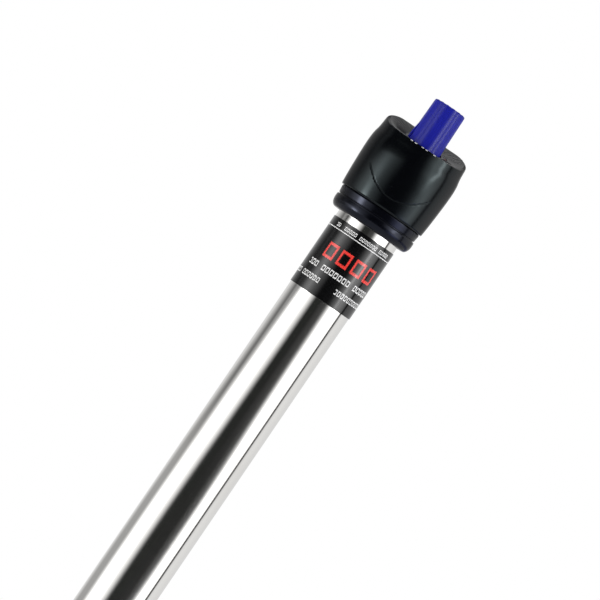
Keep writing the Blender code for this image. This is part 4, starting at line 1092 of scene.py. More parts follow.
class Finish(Enum):
    """Every finish of the heater."""

    BLACK = Moulding(
        "gloss_black_plastic",
        (0.0012, 0.0014, 0.0022),
        (0.006, 0.006, 0.007),
        0.17,
        0.05,
        gloss=0.27,
        rim_gloss=0.1,
        # painted tint: the cool colour of the gloss stands in for bluish light in the reflections
        tint=(0.80, 0.97, 1.0),
    )
    # Clamp nut: a copy of the gloss black plastic with a bluer base, more gloss and a bluer tint on
    # the gloss. This is a painted bluish reflection on the nut.
    NUT = Moulding(
        "black_plastic_painted_blue_reflection",
        (0.0012, 0.0014, 0.0026),
        (0.006, 0.006, 0.007),
        0.17,
        0.05,
        gloss=0.31,
        tint=(0.70, 0.76, 1.0),
    )
    # Top cap and hair lines: a copy of the gloss black plastic whose base colour is about thirty
    # times lighter. This is painted light on the top face, which also fills the knob's shadow
    # there.
    DECK = Moulding(
        "black_plastic_painted_top_light",
        (0.036, 0.0365, 0.038),
        (0.045, 0.045, 0.046),
        0.42,
        rim_gloss=1.0,
    )
    BLUE = Moulding(
        "blue_plastic", (0.008, 0.011, 0.26), (0.02, 0.03, 0.28), 0.34, 0.08, gloss=0.26
    )
    STEEL = Metal("polished_steel", (0.86, 0.85, 0.83), (0.78, 0.76, 0.73), 0.07, 0.05)
    FILM = PrintedFilm()
    RUBBER = Moulding("black_rubber", (0.018, 0.018, 0.019), (0.07, 0.07, 0.07), 0.62, 0.1)
    LENS = Moulding("red_lens", (0.16, 0.006, 0.006), (0.2, 0.02, 0.02), 0.12, coat=0.5)
    INK = Moulding("white_ink", (0.48, 0.48, 0.47), (0.5, 0.5, 0.5), 0.5)
    STOPPER = Moulding("stopper_rubber", (0.50, 0.13, 0.08), (0.6, 0.3, 0.22), 0.6, 0.1)
    CERAMIC = Moulding(
        "ceramic", (0.80, 0.77, 0.70), (0.62, 0.56, 0.48), 0.62, 0.1, depth=0.03 * MM
    )
    BEARING = Moulding("bearing_plastic", (0.74, 0.73, 0.67), (0.6, 0.58, 0.52), 0.42)
    SLEEVE = Moulding("lead_sleeve", (0.58, 0.07, 0.05), (0.6, 0.25, 0.2), 0.45)
    RESIN = Moulding("amber_resin", (0.46, 0.17, 0.03), (0.5, 0.3, 0.14), 0.3, coat=0.3)
    MAGNET = Moulding(
        "sintered_magnet", (0.10, 0.10, 0.105), (0.2, 0.2, 0.2), 0.45, 0.12, depth=0.03 * MM
    )
    PHENOLIC = Moulding("phenolic", (0.22, 0.09, 0.035), (0.3, 0.16, 0.08), 0.42)
    WIRE = Metal("resistance_wire", (0.27, 0.25, 0.24), (0.16, 0.12, 0.10), 0.42, 0.1)
    PLATED = Metal("plated_steel", (0.66, 0.65, 0.62), (0.52, 0.50, 0.46), 0.28, 0.1)
    BRASS = Metal("brass", (0.74, 0.52, 0.22), (0.52, 0.34, 0.14), 0.26, 0.1)
    SILVER = Metal("silver_contact", (0.86, 0.85, 0.82), (0.6, 0.58, 0.54), 0.24, 0.08)


class Paintbox:
    """Builds each finish once."""

    def __init__(self) -> None:
        """Builds the node groups."""
        self.groups = Groups()
        self.made: dict[Finish, bpy.types.Material] = {}

    def get(self, finish: Finish) -> bpy.types.Material:
        """Gives a finish's material, made at its first use.

        Args:
            finish: the finish.

        Returns:
            The material.
        """
        if finish not in self.made:
            self.made[finish] = finish.value.build(self.groups)
        return self.made[finish]


# ---------------------------------------------------------------------------
# Sub-assemblies
# ---------------------------------------------------------------------------


@dataclass
class HeaterTube:
    """Drawn steel tube, closed below by a rounded flat end."""

    radius: float = 12.5 * MM
    wall: float = 0.6 * MM
    fillet: float = 5.0 * MM
    top: float = 354.0 * MM
    mouth: float = 0.12 * MM
    sides: int = 160
    outer_steps: int = 14
    inner_steps: int = 10

    def build(self, paints: Paintbox) -> None:
        """Makes the tube and replaces its node.

        Args:
            paints: builds the finishes.
        """
        inner = self.radius - self.wall
        lip = self.top - self.mouth
        outside = rounded(
            [(0.0, 0.0, 0.0), (self.radius, 0.0, self.fillet), (self.radius, lip, 0.0)],
            self.outer_steps,
        )
        inside = rounded(
            [(inner, lip, 0.0), (inner, self.wall, self.fillet - self.wall), (0.0, self.wall, 0.0)],
            self.inner_steps,
        )
        mouth = [(self.radius - self.mouth, self.top), (inner + self.mouth, self.top)]
        piece = turned("tube_shell", [*outside, *mouth, *inside], self.sides)
        smooth(piece)
        settle(piece, paints.get(Finish.STEEL), "heater", "polished_steel", "heater_tube")


@dataclass
class PrintedLabel:
    """Gloss film shrunk round the tube, with rounded edges."""

    inside: float = 12.52 * MM
    thickness: float = 0.30 * MM
    top: float = 335.4 * MM
    foot: float = 307.1 * MM
    edge: float = 0.1 * MM
    edge_steps: int = 3
    sides: int = 160

    def build(self, paints: Paintbox) -> None:
        """Makes the film and replaces its node.

        Args:
            paints: builds the finishes.
        """
        outside = self.inside + self.thickness
        middle = (self.top + self.foot) / 2
        profile = rounded(
            [
                (self.inside, middle, 0.0),
                (self.inside, self.top, 0.0),
                (outside, self.top, self.edge),
                (outside, self.foot, self.edge),
                (self.inside, self.foot, 0.0),
                (self.inside, middle, 0.0),
            ],
            self.edge_steps,
        )
        piece = turned("printed_label", profile, self.sides)
        smooth(piece)
        settle(piece, paints.get(Finish.FILM), "heater", "label_film", "label_sleeve")


@dataclass
class ClampNut:
    """Nut at the foot of the head: rounded collar, fine groove and grip band.

    Levels are over the nut's foot.
    """

    levels: Levels = LEVELS
    socket: float = 12.8 * MM
    bore: float = 14.3 * MM
    floor: float = 1.4 * MM
    foot_radius: float = 14.55 * MM
    collar: float = 16.6 * MM
    round_height: float = 3.3 * MM
    round_steps: int = 12
    groove_level: float = 5.05 * MM
    groove: float = 15.85 * MM
    groove_width: float = 0.3 * MM
    band_foot: float = 16.25 * MM
    band: float = 16.55 * MM
    tongue: float = 15.6 * MM
    tongue_height: float = 0.9 * MM
    rib_pitch: float = 6.5  # degrees
    ribs_per_side: int = 12
    rib_radius: float = 0.42 * MM
    rib_stand: float = 0.24 * MM
    rib_gap: float = 0.3 * MM
    rib_sides: int = 16
    chamfer: float = 0.3 * MM
    sides: int = 192

    def foot_round(self) -> list[Point]:
        """Points of the rounded foot, from the lower face up to the collar.

        Returns:
            (radius, height) points.
        """
        turns = [math.pi / 2 * i / self.round_steps for i in range(self.round_steps + 1)]
        out, up = self.collar - self.foot_radius, self.round_height
        return [
            (self.foot_radius + out * math.sin(a), self.levels.foot + up * (1 - math.cos(a)))
            for a in turns
        ]

    def build(self, paints: Paintbox) -> None:
        """Makes the nut and replaces its node.

        Args:
            paints: builds the finishes.
        """
        foot, top = self.levels.foot, self.levels.nut_top
        low = foot + self.groove_level - self.groove_width / 2
        high = low + self.groove_width
        # A radius and how far in from it, a level and how far over it, and the rounding, where
        # what is not a name is in millimetres.
        corners = (
            (self.collar, 0.0, low, -1.2, 0.0),
            (self.collar, 0.02, low, -0.5, 0.6),
            (self.collar, 0.2, low, -0.05, 0.15),
            (self.groove, 0.0, low, 0.0, 0.08),
            (self.groove, 0.0, high, 0.0, 0.08),
            (self.band_foot, 0.0, high, 0.05, 0.15),
            (self.band, 0.0, top, -0.5, 0.4),
            (self.band, 0.25, top, 0.0, 0.2),
            (self.tongue, 0.0, top, 0.0, 0.0),
        )
        upper = rounded(
            [
                (radius - inwards * MM, level + over * MM, rounding * MM)
                for radius, inwards, level, over, rounding in corners
            ]
        )
        profile = [
            (self.socket, foot + self.floor),
            (self.socket, foot + self.chamfer),
            (self.socket + self.chamfer, foot),
            *self.foot_round(),
            *upper[1:],
            (self.tongue, top + self.tongue_height),
            (self.bore, top + self.tongue_height),
            (self.bore, foot + self.floor),
            (self.socket, foot + self.floor),
        ]
        piece = turned("clamp_nut", profile, self.sides)
        cut(piece, self.grip_cutter(high + self.rib_gap, top + self.rib_radius))
        smooth(piece)
        # the nut takes the copy of the black plastic with the painted bluish reflection
        settle(piece, paints.get(Finish.NUT), "heater", "gloss_black_plastic", "gland_nut")

    def grip_cutter(self, low: float, high: float) -> bpy.types.Object:
        """Upright bars that cut the finger grooves into both sides of the band.

        Args:
            low: foot of the grooves.
            high: top of the grooves.

        Returns:
            The cutter.
        """
        middle = Vector((0.0, 0.0, (low + high) / 2))
        upright = bar("grip_bar", self.rib_radius, high - low, middle, self.rib_sides)
        reach = Vector((self.band + self.rib_stand, 0.0, 0.0))
        first = -(self.ribs_per_side - 1) / 2
        turns = [
            math.radians(side + (first + i) * self.rib_pitch)
            for side in (0.0, 180.0)
            for i in range(self.ribs_per_side)
        ]
        places = [Matrix.Translation(Matrix.Rotation(turn, 3, "Z") @ reach) for turn in turns]
        return repeated(upright, places, "grip_bars")


@dataclass
class Head:
    """Barrel-shaped head with the smile groove, its cap and the scoop across both.

    The side table gives the radius at heights over the nut's foot, in millimetres.
    """

    levels: Levels = LEVELS
    side: tuple[Point, ...] = (
        (8.6, 17.22),
        (10.0, 17.36),
        (12.0, 17.52),
        (14.0, 17.66),
        (18.0, 17.89),
        (22.0, 18.08),
        (26.0, 18.18),
        (28.0, 18.14),
        (29.5, 18.04),
        (31.0, 17.83),
        (32.0, 17.60),
        (33.0, 17.43),
        (34.0, 17.32),
        (35.2, 17.22),
        (36.35, 17.14),
    )
    foot_radius: float = 17.25 * MM
    foot_edge: float = 0.2 * MM
    foot_gap: float = 0.1 * MM
    shoulder_width: float = 5.0 * MM
    shoulder_height: float = 3.65 * MM
    cap_radius: float = 15.95 * MM
    cap_bore: float = 16.0 * MM
    cavity: float = 14.2 * MM
    deck_foot: float = 356.6 * MM
    deck_top: float = 358.6 * MM
    boss_foot: float = 342.6 * MM
    boss: float = 14.0 * MM
    socket: float = 12.8 * MM
    tongue_groove: float = 15.9 * MM
    tongue_top: float = 347.5 * MM
    smile_low: float = 12.7 * MM
    smile_rise: float = 42.0  # metres of height for each square metre of half width
    smile_half_width: float = 13.0 * MM
    smile_radius: float = 0.3 * MM
    smile_stand: float = 0.06 * MM
    smile_points: int = 65
    smile_sides: int = 5
    cap_gap: float = 0.3 * MM
    pocket: float = 7.25 * MM
    pocket_gap: float = 0.3 * MM
    spindle_hole: float = 2.3 * MM
    inlet_hole: float = 4.4 * MM
    lens_hole: float = 1.1 * MM
    overrun: float = 1.0 * MM
    hole_sides: int = 96
    edge: float = 0.04 * MM
    sharp: float = 32.0  # degrees
    sides: int = 200
    barrel_rings: int = 48
    shoulder_steps: int = 12
    scoop_sides: int = 720

    def side_radius(self, level: float) -> float:
        """Finds the radius of the side, on a smooth curve through the side table.

        Args:
            level: the height.

        Returns:
            The radius there.
        """
        rows = [(self.levels.foot + height * MM, radius * MM) for height, radius in self.side]
        level = max(rows[0][0], min(rows[-1][0], level))
        i = next(k for k in range(len(rows) - 1) if level <= rows[k + 1][0])
        (z0, r0), (z1, r1) = rows[i], rows[i + 1]
        before, after = rows[max(i - 1, 0)], rows[min(i + 2, len(rows) - 1)]
        rise0 = (r1 - before[1]) / (z1 - before[0])
        rise1 = (after[1] - r0) / (after[0] - z0)
        step = z1 - z0
        s = (level - z0) / step
        return (
            (2 * s**3 - 3 * s**2 + 1) * r0
            + (s**3 - 2 * s**2 + s) * step * rise0
            + (3 * s**2 - 2 * s**3) * r1
            + (s**3 - s**2) * step * rise1
        )

    def shoulder(self, inner: float, outer: float) -> list[Point]:
        """Points of the rounded shoulder between two radii, from the inner one out.

        Args:
            inner: first radius.
            outer: last radius.

        Returns:
            (radius, height) points.
        """
        foot = self.levels.top - self.shoulder_height
        flat = self.side_radius(foot) - self.shoulder_width
        first, last = (
            math.asin(max(0.0, min(1.0, (radius - flat) / self.shoulder_width)))
            for radius in (inner, outer)
        )
        steps = self.shoulder_steps
        turns = [first + (last - first) * i / steps for i in range(steps + 1)]
        out, up = self.shoulder_width, self.shoulder_height
        return [(flat + out * math.sin(a), foot + up * math.cos(a)) for a in turns]

    def scoop_cutter(self) -> bpy.types.Object:
        """Large cylinder lying along X that hollows the front of the top.

        Returns:
            The cutter.
        """
        front, radius = self.levels.front, self.levels.scoop_radius
        middle = Vector((0.0, -front, self.levels.scoop_front + radius))
        along_x = (0.0, math.pi / 2, 0.0)
        return bar("scoop", radius, 3 * front, middle, self.scoop_sides, along_x)

    def smile_cutter(self) -> bpy.types.Object:
        """Round bar along the curved groove in the front.

        Returns:
            The cutter.
        """
        points = []
        for i in range(self.smile_points):
            across = self.smile_half_width * (2 * i / (self.smile_points - 1) - 1)
            level = self.levels.foot + self.smile_low + self.smile_rise * across**2
            radius = self.side_radius(level) + self.smile_stand
            points.append(Vector((across, -math.sqrt(radius**2 - across**2), level)))
        return swept("smile_bar", points, self.smile_radius, self.smile_sides)

    def build_shell(self, paints: Paintbox, scoop: bpy.types.Object) -> None:
        """Makes the barrel and its collar, and replaces the housing's node.

        Args:
            paints: builds the finishes.
            scoop: the scoop's cutter.
        """
        levels = self.levels
        foot = levels.nut_top + self.foot_gap
        low, high = foot + self.foot_edge, levels.top - self.shoulder_height
        rings = [high + (low - high) * i / self.barrel_rings for i in range(self.barrel_rings + 1)]
        side = [(self.side_radius(z), z) for z in rings]
        seat = levels.cap_foot - self.cap_gap
        profile = [
            (0.0, self.deck_top),
            (self.cavity, self.deck_top),
            (self.cavity, seat),
            (self.cap_bore, seat),
            *self.shoulder(self.cap_bore, side[0][0]),
            *side[1:],
            (self.foot_radius - self.foot_edge / 2, foot + self.foot_edge / 2),
            (self.foot_radius - self.foot_edge, foot),
            (self.tongue_groove, foot),
            (self.tongue_groove, self.tongue_top),
            (self.boss, self.tongue_top),
            (self.boss, self.boss_foot),
            (self.socket, self.boss_foot),
            (self.socket, self.deck_foot),
            (0.0, self.deck_foot),
        ]
        shell = turned("head_shell", profile, self.sides)
        cut(shell, scoop, keep=True)
        cut(shell, self.smile_cutter())
        soften(shell, self.edge, self.sharp)
        smooth(shell)
        settle(shell, paints.get(Finish.BLACK), "heater", "gloss_black_plastic", "head_housing")

    def build_cap(self, paints: Paintbox, scoop: bpy.types.Object) -> None:
        """Makes the cap let into the head, and replaces its node.

        Args:
            paints: builds the finishes.
            scoop: the scoop's cutter.
        """
        levels = self.levels
        profile = [
            (0.0, levels.top),
            *self.shoulder(0.0, self.cap_radius),
            (self.cap_radius, levels.cap_foot),
            (0.0, levels.cap_foot),
        ]
        cap = turned("cap_shell", profile, self.sides)
        cut(cap, scoop, keep=True)
        knob = (0.0, levels.knob_y)
        through = levels.cap_foot - self.overrun
        high = levels.top + 2 * self.overrun
        for name, radius, low, spot in (
            ("pocket", self.pocket, levels.knob_foot - self.pocket_gap, knob),
            ("spindle_hole", self.spindle_hole, through, knob),
            ("inlet_hole", self.inlet_hole, through, (0.0, levels.inlet_y)),
            ("lens_hole", self.lens_hole, through, levels.lens),
        ):
            middle = Vector((*spot, (low + high) / 2))
            cut(cap, bar(name, radius, high - low, middle, self.hole_sides))
        soften(cap, self.edge, self.sharp)
        smooth(cap)
        # the cap takes the copy of the black plastic whose lighter base colour is painted light on
        # the top
        settle(cap, paints.get(Finish.DECK), "heater", "gloss_black_plastic", "top_cap")

    def build(self, paints: Paintbox) -> None:
        """Makes the shell and the cap.

        Args:
            paints: builds the finishes.
        """
        scoop = self.scoop_cutter()
        self.build_shell(paints, scoop)
        self.build_cap(paints, scoop)
        bpy.data.objects.remove(scoop, do_unlink=True)


@dataclass
class DialScale:
    """Raised hair lines round the knob, and white setting marks on the front rim.

    Angles are in degrees to the right of the front: the lines' round the knob's axis, the marks'
    round the tube's.
    """

    levels: Levels = LEVELS
    inner: float = 7.9 * MM
    outer: float = 14.6 * MM
    shortest: float = 1.0 * MM
    pitch: float = 6.0
    first: float = -142.0
    last: float = 142.0
    bare_front: float = 24.0
    steps: int = 4
    width: float = 0.30 * MM
    top_share: float = 0.5  # width of a line's top, as a share of its foot's
    stand: float = 0.16 * MM
    end_stand: float = 0.3  # share of the stand that is left at a line's ends
    crease_gap: float = 0.6 * MM
    lens_gap: float = 1.6 * MM
    marks: tuple[float, ...] = (-16.6, -10.7, -1.0, 4.7, 15.9)
    mark_size: Point3 = (1.05 * MM, 0.22 * MM, 0.32 * MM)
    mark_edge: float = 0.08 * MM
    mark_sharp: float = 40.0
    mark_drop: float = 0.2 * MM
    rim: float = 17.3 * MM

    def hair_line(self, turn: float, reach: float) -> bpy.types.Object:
        """One raised line on the scoop, running away from the knob.

        Args:
            turn: its angle from the front, in degrees to the right.
            reach: where it ends, from the knob's axis.

        Returns:
            The line.
        """
        half, length = self.width / 2, reach - self.inner
        low, high = Vector((-half, 0.0, -self.stand)), Vector((half, length, self.stand))
        line = block("hair_line", low, high)
        bpy.ops.object.mode_set(mode="EDIT")
        pick(line, lambda spot: spot.co.z > 0.0)
        narrow, middle = (self.top_share, 1.0, 1.0), (0.0, 0.0, self.stand)
        bpy.ops.transform.resize(value=narrow, center_override=middle)
        bpy.ops.mesh.select_all(action="DESELECT")
        shape = bmesh.from_edit_mesh(line.data)
        for edge in shape.edges:
            one, other = edge.verts
            edge.select = abs(one.co.y - other.co.y) > length / 2
        bmesh.update_edit_mesh(line.data)
        bpy.ops.mesh.subdivide(number_cuts=self.steps - 1)
        bpy.ops.object.mode_set(mode="OBJECT")
        away = heading(turn)
        across = Vector((away.y, -away.x, 0.0))
        start = Vector((0.0, self.levels.knob_y, 0.0)) + away * self.inner
        for spot in line.data.vertices:
            x, along, z = spot.co
            middle = start + away * along
            at_end = min(along, length - along) < length / (2 * self.steps)
            over = z * self.end_stand if z > 0.0 and at_end else z
            spot.co = middle + across * x
            spot.co.z = self.levels.scoop_level(middle.y) + over
        return line

    def reach(self, turn: float) -> float:
        """Finds how far a line may run before it leaves the cap or the scoop.

        Args:
            turn: its angle from the front, in degrees to the right.

        Returns:
            Where it ends, from the knob's axis.
        """
        away = heading(turn)
        spot = Vector((0.0, self.levels.knob_y, 0.0))
        along = spot.dot(away)
        to_edge = -along + math.sqrt(along**2 - spot.length_squared + self.outer**2)
        if away.y <= 0.0:
            return to_edge
        return min(to_edge, (self.levels.crease - self.crease_gap - spot.y) / away.y)

    def near_lens(self, turn: float) -> bool:
        """Finds whether a line would run over the lens.

        Args:
            turn: its angle from the front, in degrees to the right.

        Returns:
            True when it would.
        """
        away = heading(turn)
        x, y = self.levels.lens
        lens = Vector((x, y - self.levels.knob_y, 0.0))
        return abs(lens.x * away.y - lens.y * away.x) < self.lens_gap and lens.dot(away) > 0.0

    def build_lines(self, paints: Paintbox) -> None:
        """Makes the hair lines.

        Args:
            paints: builds the finishes.
        """
        count = round((self.last - self.first) / self.pitch)
        lines = []
        for i in range(count + 1):
            turn = self.first + self.pitch * i
            reach = self.reach(turn)
            too_short = reach < self.inner + self.shortest
            if abs(turn) < self.bare_front or too_short or self.near_lens(turn):
                continue
            lines.append(self.hair_line(turn, reach))
        piece = join(lines, "dial_lines")
        smooth(piece)
        # the hair lines take the same copy, with its painted light on the top
        settle(piece, paints.get(Finish.DECK), "heater", "gloss_black_plastic")

    def build_marks(self, paints: Paintbox) -> None:
        """Makes the small white pads on the front edge of the collar.

        Args:
            paints: builds the finishes.
        """
        middle = Vector((0.0, -self.rim, self.levels.scoop_front - self.mark_drop))
        half = Vector(self.mark_size) / 2
        pad = block("mark", middle - half, middle + half)
        soften(pad, self.mark_edge, self.mark_sharp)
        places = [Matrix.Rotation(math.radians(turn), 4, "Z") for turn in self.marks]
        piece = repeated(pad, places, "setting_marks")
        smooth(piece)
        settle(piece, paints.get(Finish.INK), "heater", "gloss_black_plastic")

    def build(self, paints: Paintbox) -> None:
        """Makes the lines and the marks.

        Args:
            paints: builds the finishes.
        """
        self.build_lines(paints)
        self.build_marks(paints)


@dataclass
class TemperatureKnob:
    """Fluted knob that widens a little downwards, with a pointer at its foot and a dished top.

    The rim table shapes the top edge. It gives how far each corner stands in from the side and
    below the top, in millimetres.
    """

    levels: Levels = LEVELS
    radius: float = 6.3 * MM
    foot_radius: float = 6.6 * MM
    flutes: int = 14
    flute_depth: float = 0.15 * MM
    scallop: float = 0.35 * MM
    points_per_flute: int = 12
    flute_reach: float = 1.05 * MM
    rim: tuple[Point, ...] = (
        (0.0, 0.8),
        (0.1, 0.33),
        (0.3, 0.11),
        (0.55, 0.0),
        (1.25, 0.03),
        (1.5, 0.3),
    )
    dish: float = 0.34 * MM
    foot_edge: float = 0.15 * MM
    pointer_reach: float = 0.72 * MM
    pointer_root: float = 1.2 * MM
    pointer_gap: float = 0.3 * MM
    pointer_edge: float = 0.22 * MM
    pointer_edge_steps: int = 3
    pointer_sharp: float = 30.0  # degrees
    pointer_height: float = 16.0 * MM
    pointer_slope: float = 0.8  # share of its height that it slopes over
    pointer_width: float = 2.0 * MM
    pointer_angle: float = 186.0  # degrees from +X
    chamfer: float = 0.55 * MM
    sharp: float = 40.0  # degrees
    socket: float = 2.3 * MM
    socket_depth: float = 10.8 * MM

    def flute(self, turn: float) -> float:
        """Depth of the flutes at an angle, as a share of the full depth."""
        return (0.5 - 0.5 * math.cos(self.flutes * turn)) ** 2

    def build(self, paints: Paintbox) -> None:
        """Makes the knob and replaces its node.

        Args:
            paints: builds the finishes.
        """
        low, high = self.levels.knob_foot, self.levels.knob_top
        middle = (0.0, self.levels.knob_y)
        sides = self.flutes * self.points_per_flute
        profile = [
            (0.0, low + self.socket_depth),
            (self.socket, low + self.socket_depth),
            (self.socket, low),
            (self.foot_radius - self.foot_edge, low),
            (self.foot_radius, low + self.foot_edge),
            *((self.radius - inwards * MM, high - down * MM) for inwards, down in self.rim),
            (0.0, high - self.dish),
        ]
        knob = turned("fluted_knob", profile, sides, middle)
        for spot in knob.data.vertices:
            x, y = spot.co.x, spot.co.y - middle[1]
            out = math.hypot(x, y)
            if out < self.radius - self.flute_reach:
                continue
            share = self.flute(math.atan2(y, x))
            scale = (out - self.flute_depth * share) / out
            near_top = max(0.0, 1.0 - (high - spot.co.z) / self.chamfer)
            spot.co.x, spot.co.y = x * scale, y * scale + middle[1]
            spot.co.z -= self.scallop * share * near_top
        cut(knob, self.pointer(low), how="UNION")
        outward(knob)
        smooth(knob, self.sharp)
        settle(knob, paints.get(Finish.BLUE), "knob", "blue_plastic", "temperature_knob")

    def pointer(self, low: float) -> bpy.types.Object:
        """Long narrow wedge over the knob's foot that slopes up into its side.

        Args:
            low: the knob's foot.

        Returns:
            The wedge.
        """
        root, out = self.radius - self.pointer_root, self.radius + self.pointer_reach
        half = self.pointer_width / 2
        foot, top = low + self.pointer_gap, low + self.pointer_height
        piece = block("pointer", Vector((-half, -out, foot)), Vector((half, -root, top)))
        bpy.ops.object.mode_set(mode="EDIT")
        middle = low + self.pointer_height / 2
        pick(piece, lambda spot: spot.co.y < -(root + out) / 2 and spot.co.z > middle)
        drop = self.pointer_height * self.pointer_slope
        bpy.ops.transform.translate(value=(0.0, 0.0, -drop))
        bpy.ops.object.mode_set(mode="OBJECT")
        soften(piece, self.pointer_edge, self.pointer_sharp, self.pointer_edge_steps)
        turn = Matrix.Rotation(math.radians(self.pointer_angle - FRONT), 4, "Z")
        piece.data.transform(Matrix.Translation((0.0, self.levels.knob_y, 0.0)) @ turn)
        return piece


@dataclass
class CordInlet:
    """Flanged rubber bush that takes the mains cord, on the flat rear of the top."""

    levels: Levels = LEVELS
    bore: float = 3.2 * MM
    neck: float = 4.1 * MM
    flange: float = 4.7 * MM
    flange_height: float = 1.4 * MM
    flange_slope: float = 0.55 * MM
    seat: float = 0.05 * MM
    rise: float = 0.3 * MM
    depth: float = 9.0 * MM
    bore_edge: float = 0.1 * MM
    neck_edge: float = 0.2 * MM
    flange_edge: float = 0.12 * MM
    slope_edge: float = 0.3 * MM
    top_edge: float = 0.4 * MM
    mouth_edge: float = 0.45 * MM
    edge_steps: int = 5
    sides: int = 72

    def build(self, paints: Paintbox) -> None:
        """Makes the bush and replaces its node.

        Args:
            paints: builds the finishes.
        """
        top = self.levels.top
        seat = top + self.seat
        high = top + self.rise + self.flange_height
        low = top - self.depth
        profile = rounded(
            [
                (self.bore, (low + high) / 2, 0.0),
                (self.bore, low, self.bore_edge),
                (self.neck, low, self.neck_edge),
                (self.neck, seat, 0.0),
                (self.flange, seat, self.flange_edge),
                (self.flange, seat + self.flange_height / 2, self.slope_edge),
                (self.flange - self.flange_slope, high, self.top_edge),
                (self.bore, high, self.mouth_edge),
                (self.bore, (low + high) / 2, 0.0),
            ],
            self.edge_steps,
        )
        piece = turned("cord_bush", profile, self.sides, (0.0, self.levels.inlet_y))
        smooth(piece)
        settle(piece, paints.get(Finish.RUBBER), "heater", "seal_rubber", "cord_gland")


@dataclass
class Indicator:
    """Domed light pipe beside the knob."""

    levels: Levels = LEVELS
    radius: float = 0.8 * MM
    dome: float = 0.28 * MM
    dome_steps: int = 6
    flange: float = 1.5 * MM
    flange_height: float = 1.0 * MM
    seat_gap: float = 0.3 * MM
    tail: float = 0.6 * MM
    sides: int = 40

    def build(self, paints: Paintbox) -> None:
        """Makes the lens and replaces its node.

        Args:
            paints: builds the finishes.
        """
        top = self.levels.scoop_level(self.levels.lens[1])
        seat = self.levels.cap_foot - self.seat_gap
        foot = seat - self.flange_height
        turns = [math.pi / 2 * i / self.dome_steps for i in range(self.dome_steps + 1)]
        dome = [(self.radius * math.sin(a), top - self.dome * (1 - math.cos(a))) for a in turns]
        profile = [
            *dome,
            (self.radius, seat),
            (self.flange, seat),
            (self.flange, foot),
            (self.radius, foot),
            (self.radius, foot - self.tail),
            (0.0, foot - self.tail),
        ]
        piece = turned("lens_pipe", profile, self.sides, self.levels.lens)
        smooth(piece)
        settle(piece, paints.get(Finish.LENS), "heater", "red_lens", "indicator_lens")


@dataclass
class Insides:
    """Finishes for the CAD nodes that stay, inside the tube and the head."""

    finishes: dict[str, Finish] = field(
        default_factory=lambda: {
            "bearing_plastic": Finish.BEARING,
            "seal_rubber": Finish.RUBBER,
            "stopper_rubber": Finish.STOPPER,
            "ceramic": Finish.CERAMIC,
            "resistance_wire": Finish.WIRE,
            "lead_sleeve": Finish.SLEEVE,
            "plated_steel": Finish.PLATED,
            "brass": Finish.BRASS,
            "silver_contact": Finish.SILVER,
            "amber_resin": Finish.RESIN,
            "magnet": Finish.MAGNET,
            "red_lens": Finish.LENS,
            "phenolic": Finish.PHENOLIC,
            "gloss_black_plastic": Finish.BLACK,
            "blue_plastic": Finish.BLUE,
            "polished_steel": Finish.STEEL,
            "label_film": Finish.FILM,
        }
    )

    def build(self, paints: Paintbox) -> None:
        """Gives every CAD node the finish of its slot.

        Args:
            paints: builds the finishes.
        """
        for part in frame["record"]["subparts"]:
            node = frame["nodes"][part["node"]]
            node.data.materials.clear()
            node.data.materials.append(paints.get(self.finishes[part["material_slot"]]))


# ---------------------------------------------------------------------------
# Floor, light and camera
# ---------------------------------------------------------------------------


@dataclass(frozen=True)
class Strip:
    """One upright strip in the surround where the light is stronger.

    Attributes:
        angle: its middle at the horizon, in degrees to the right of the front.
        slope: how far it leans, in degrees for each degree of height.
        width: half its full width, in degrees.
        fade: width of its soft edge.
        level: how much is added to the light, as a share.
        dim: height at which it has faded out.
        bright: height at which it is at its full level.
    """

    angle: float
    slope: float
    width: float
    fade: float
    level: float
    dim: float
    bright: float


@dataclass(frozen=True)
class Bend:
    """How far the surround is turned at a height, in degrees: a straight rule with two stops.

    Attributes:
        slope: turn for each degree of height.
        base: turn at the horizon.
        least: smallest turn.
        most: largest turn.
    """

    slope: float
    base: float
    least: float
    most: float

    def turn(self, sheet: Sheet, rise: bpy.types.NodeSocket) -> bpy.types.NodeSocket:
        """Gives the turn at a height.

        Args:
            sheet: the world's tree.
            rise: the height over the horizon, in degrees.

        Returns:
            The turn in degrees.
        """
        straight = sheet.math("MULTIPLY_ADD", rise, self.slope, self.base)
        return sheet.math("MAXIMUM", sheet.math("MINIMUM", straight, self.most), self.least)


class Sky(Sheet):
    """The world's node tree, with the direction of each ray.

    Its azimuth is the angle round the heater, 0 at the front and + to the right, and its rise
    is the height over the horizon, both in degrees.
    """

    def __init__(self, tree: bpy.types.NodeTree) -> None:
        """Adds the nodes that read the direction and the kind of the ray.

        Args:
            tree: the world's tree.
        """
        super().__init__(tree)
        place = self.add("ShaderNodeTexCoord").outputs["Generated"]
        self.azimuth, height = self.bearing(place)
        self.rise = self.math("MULTIPLY", self.math("ARCSINE", height), math.degrees(1.0))
        self.on_right = self.math("GREATER_THAN", self.azimuth, 0.0)
        self.ray = self.add("ShaderNodeLightPath").outputs


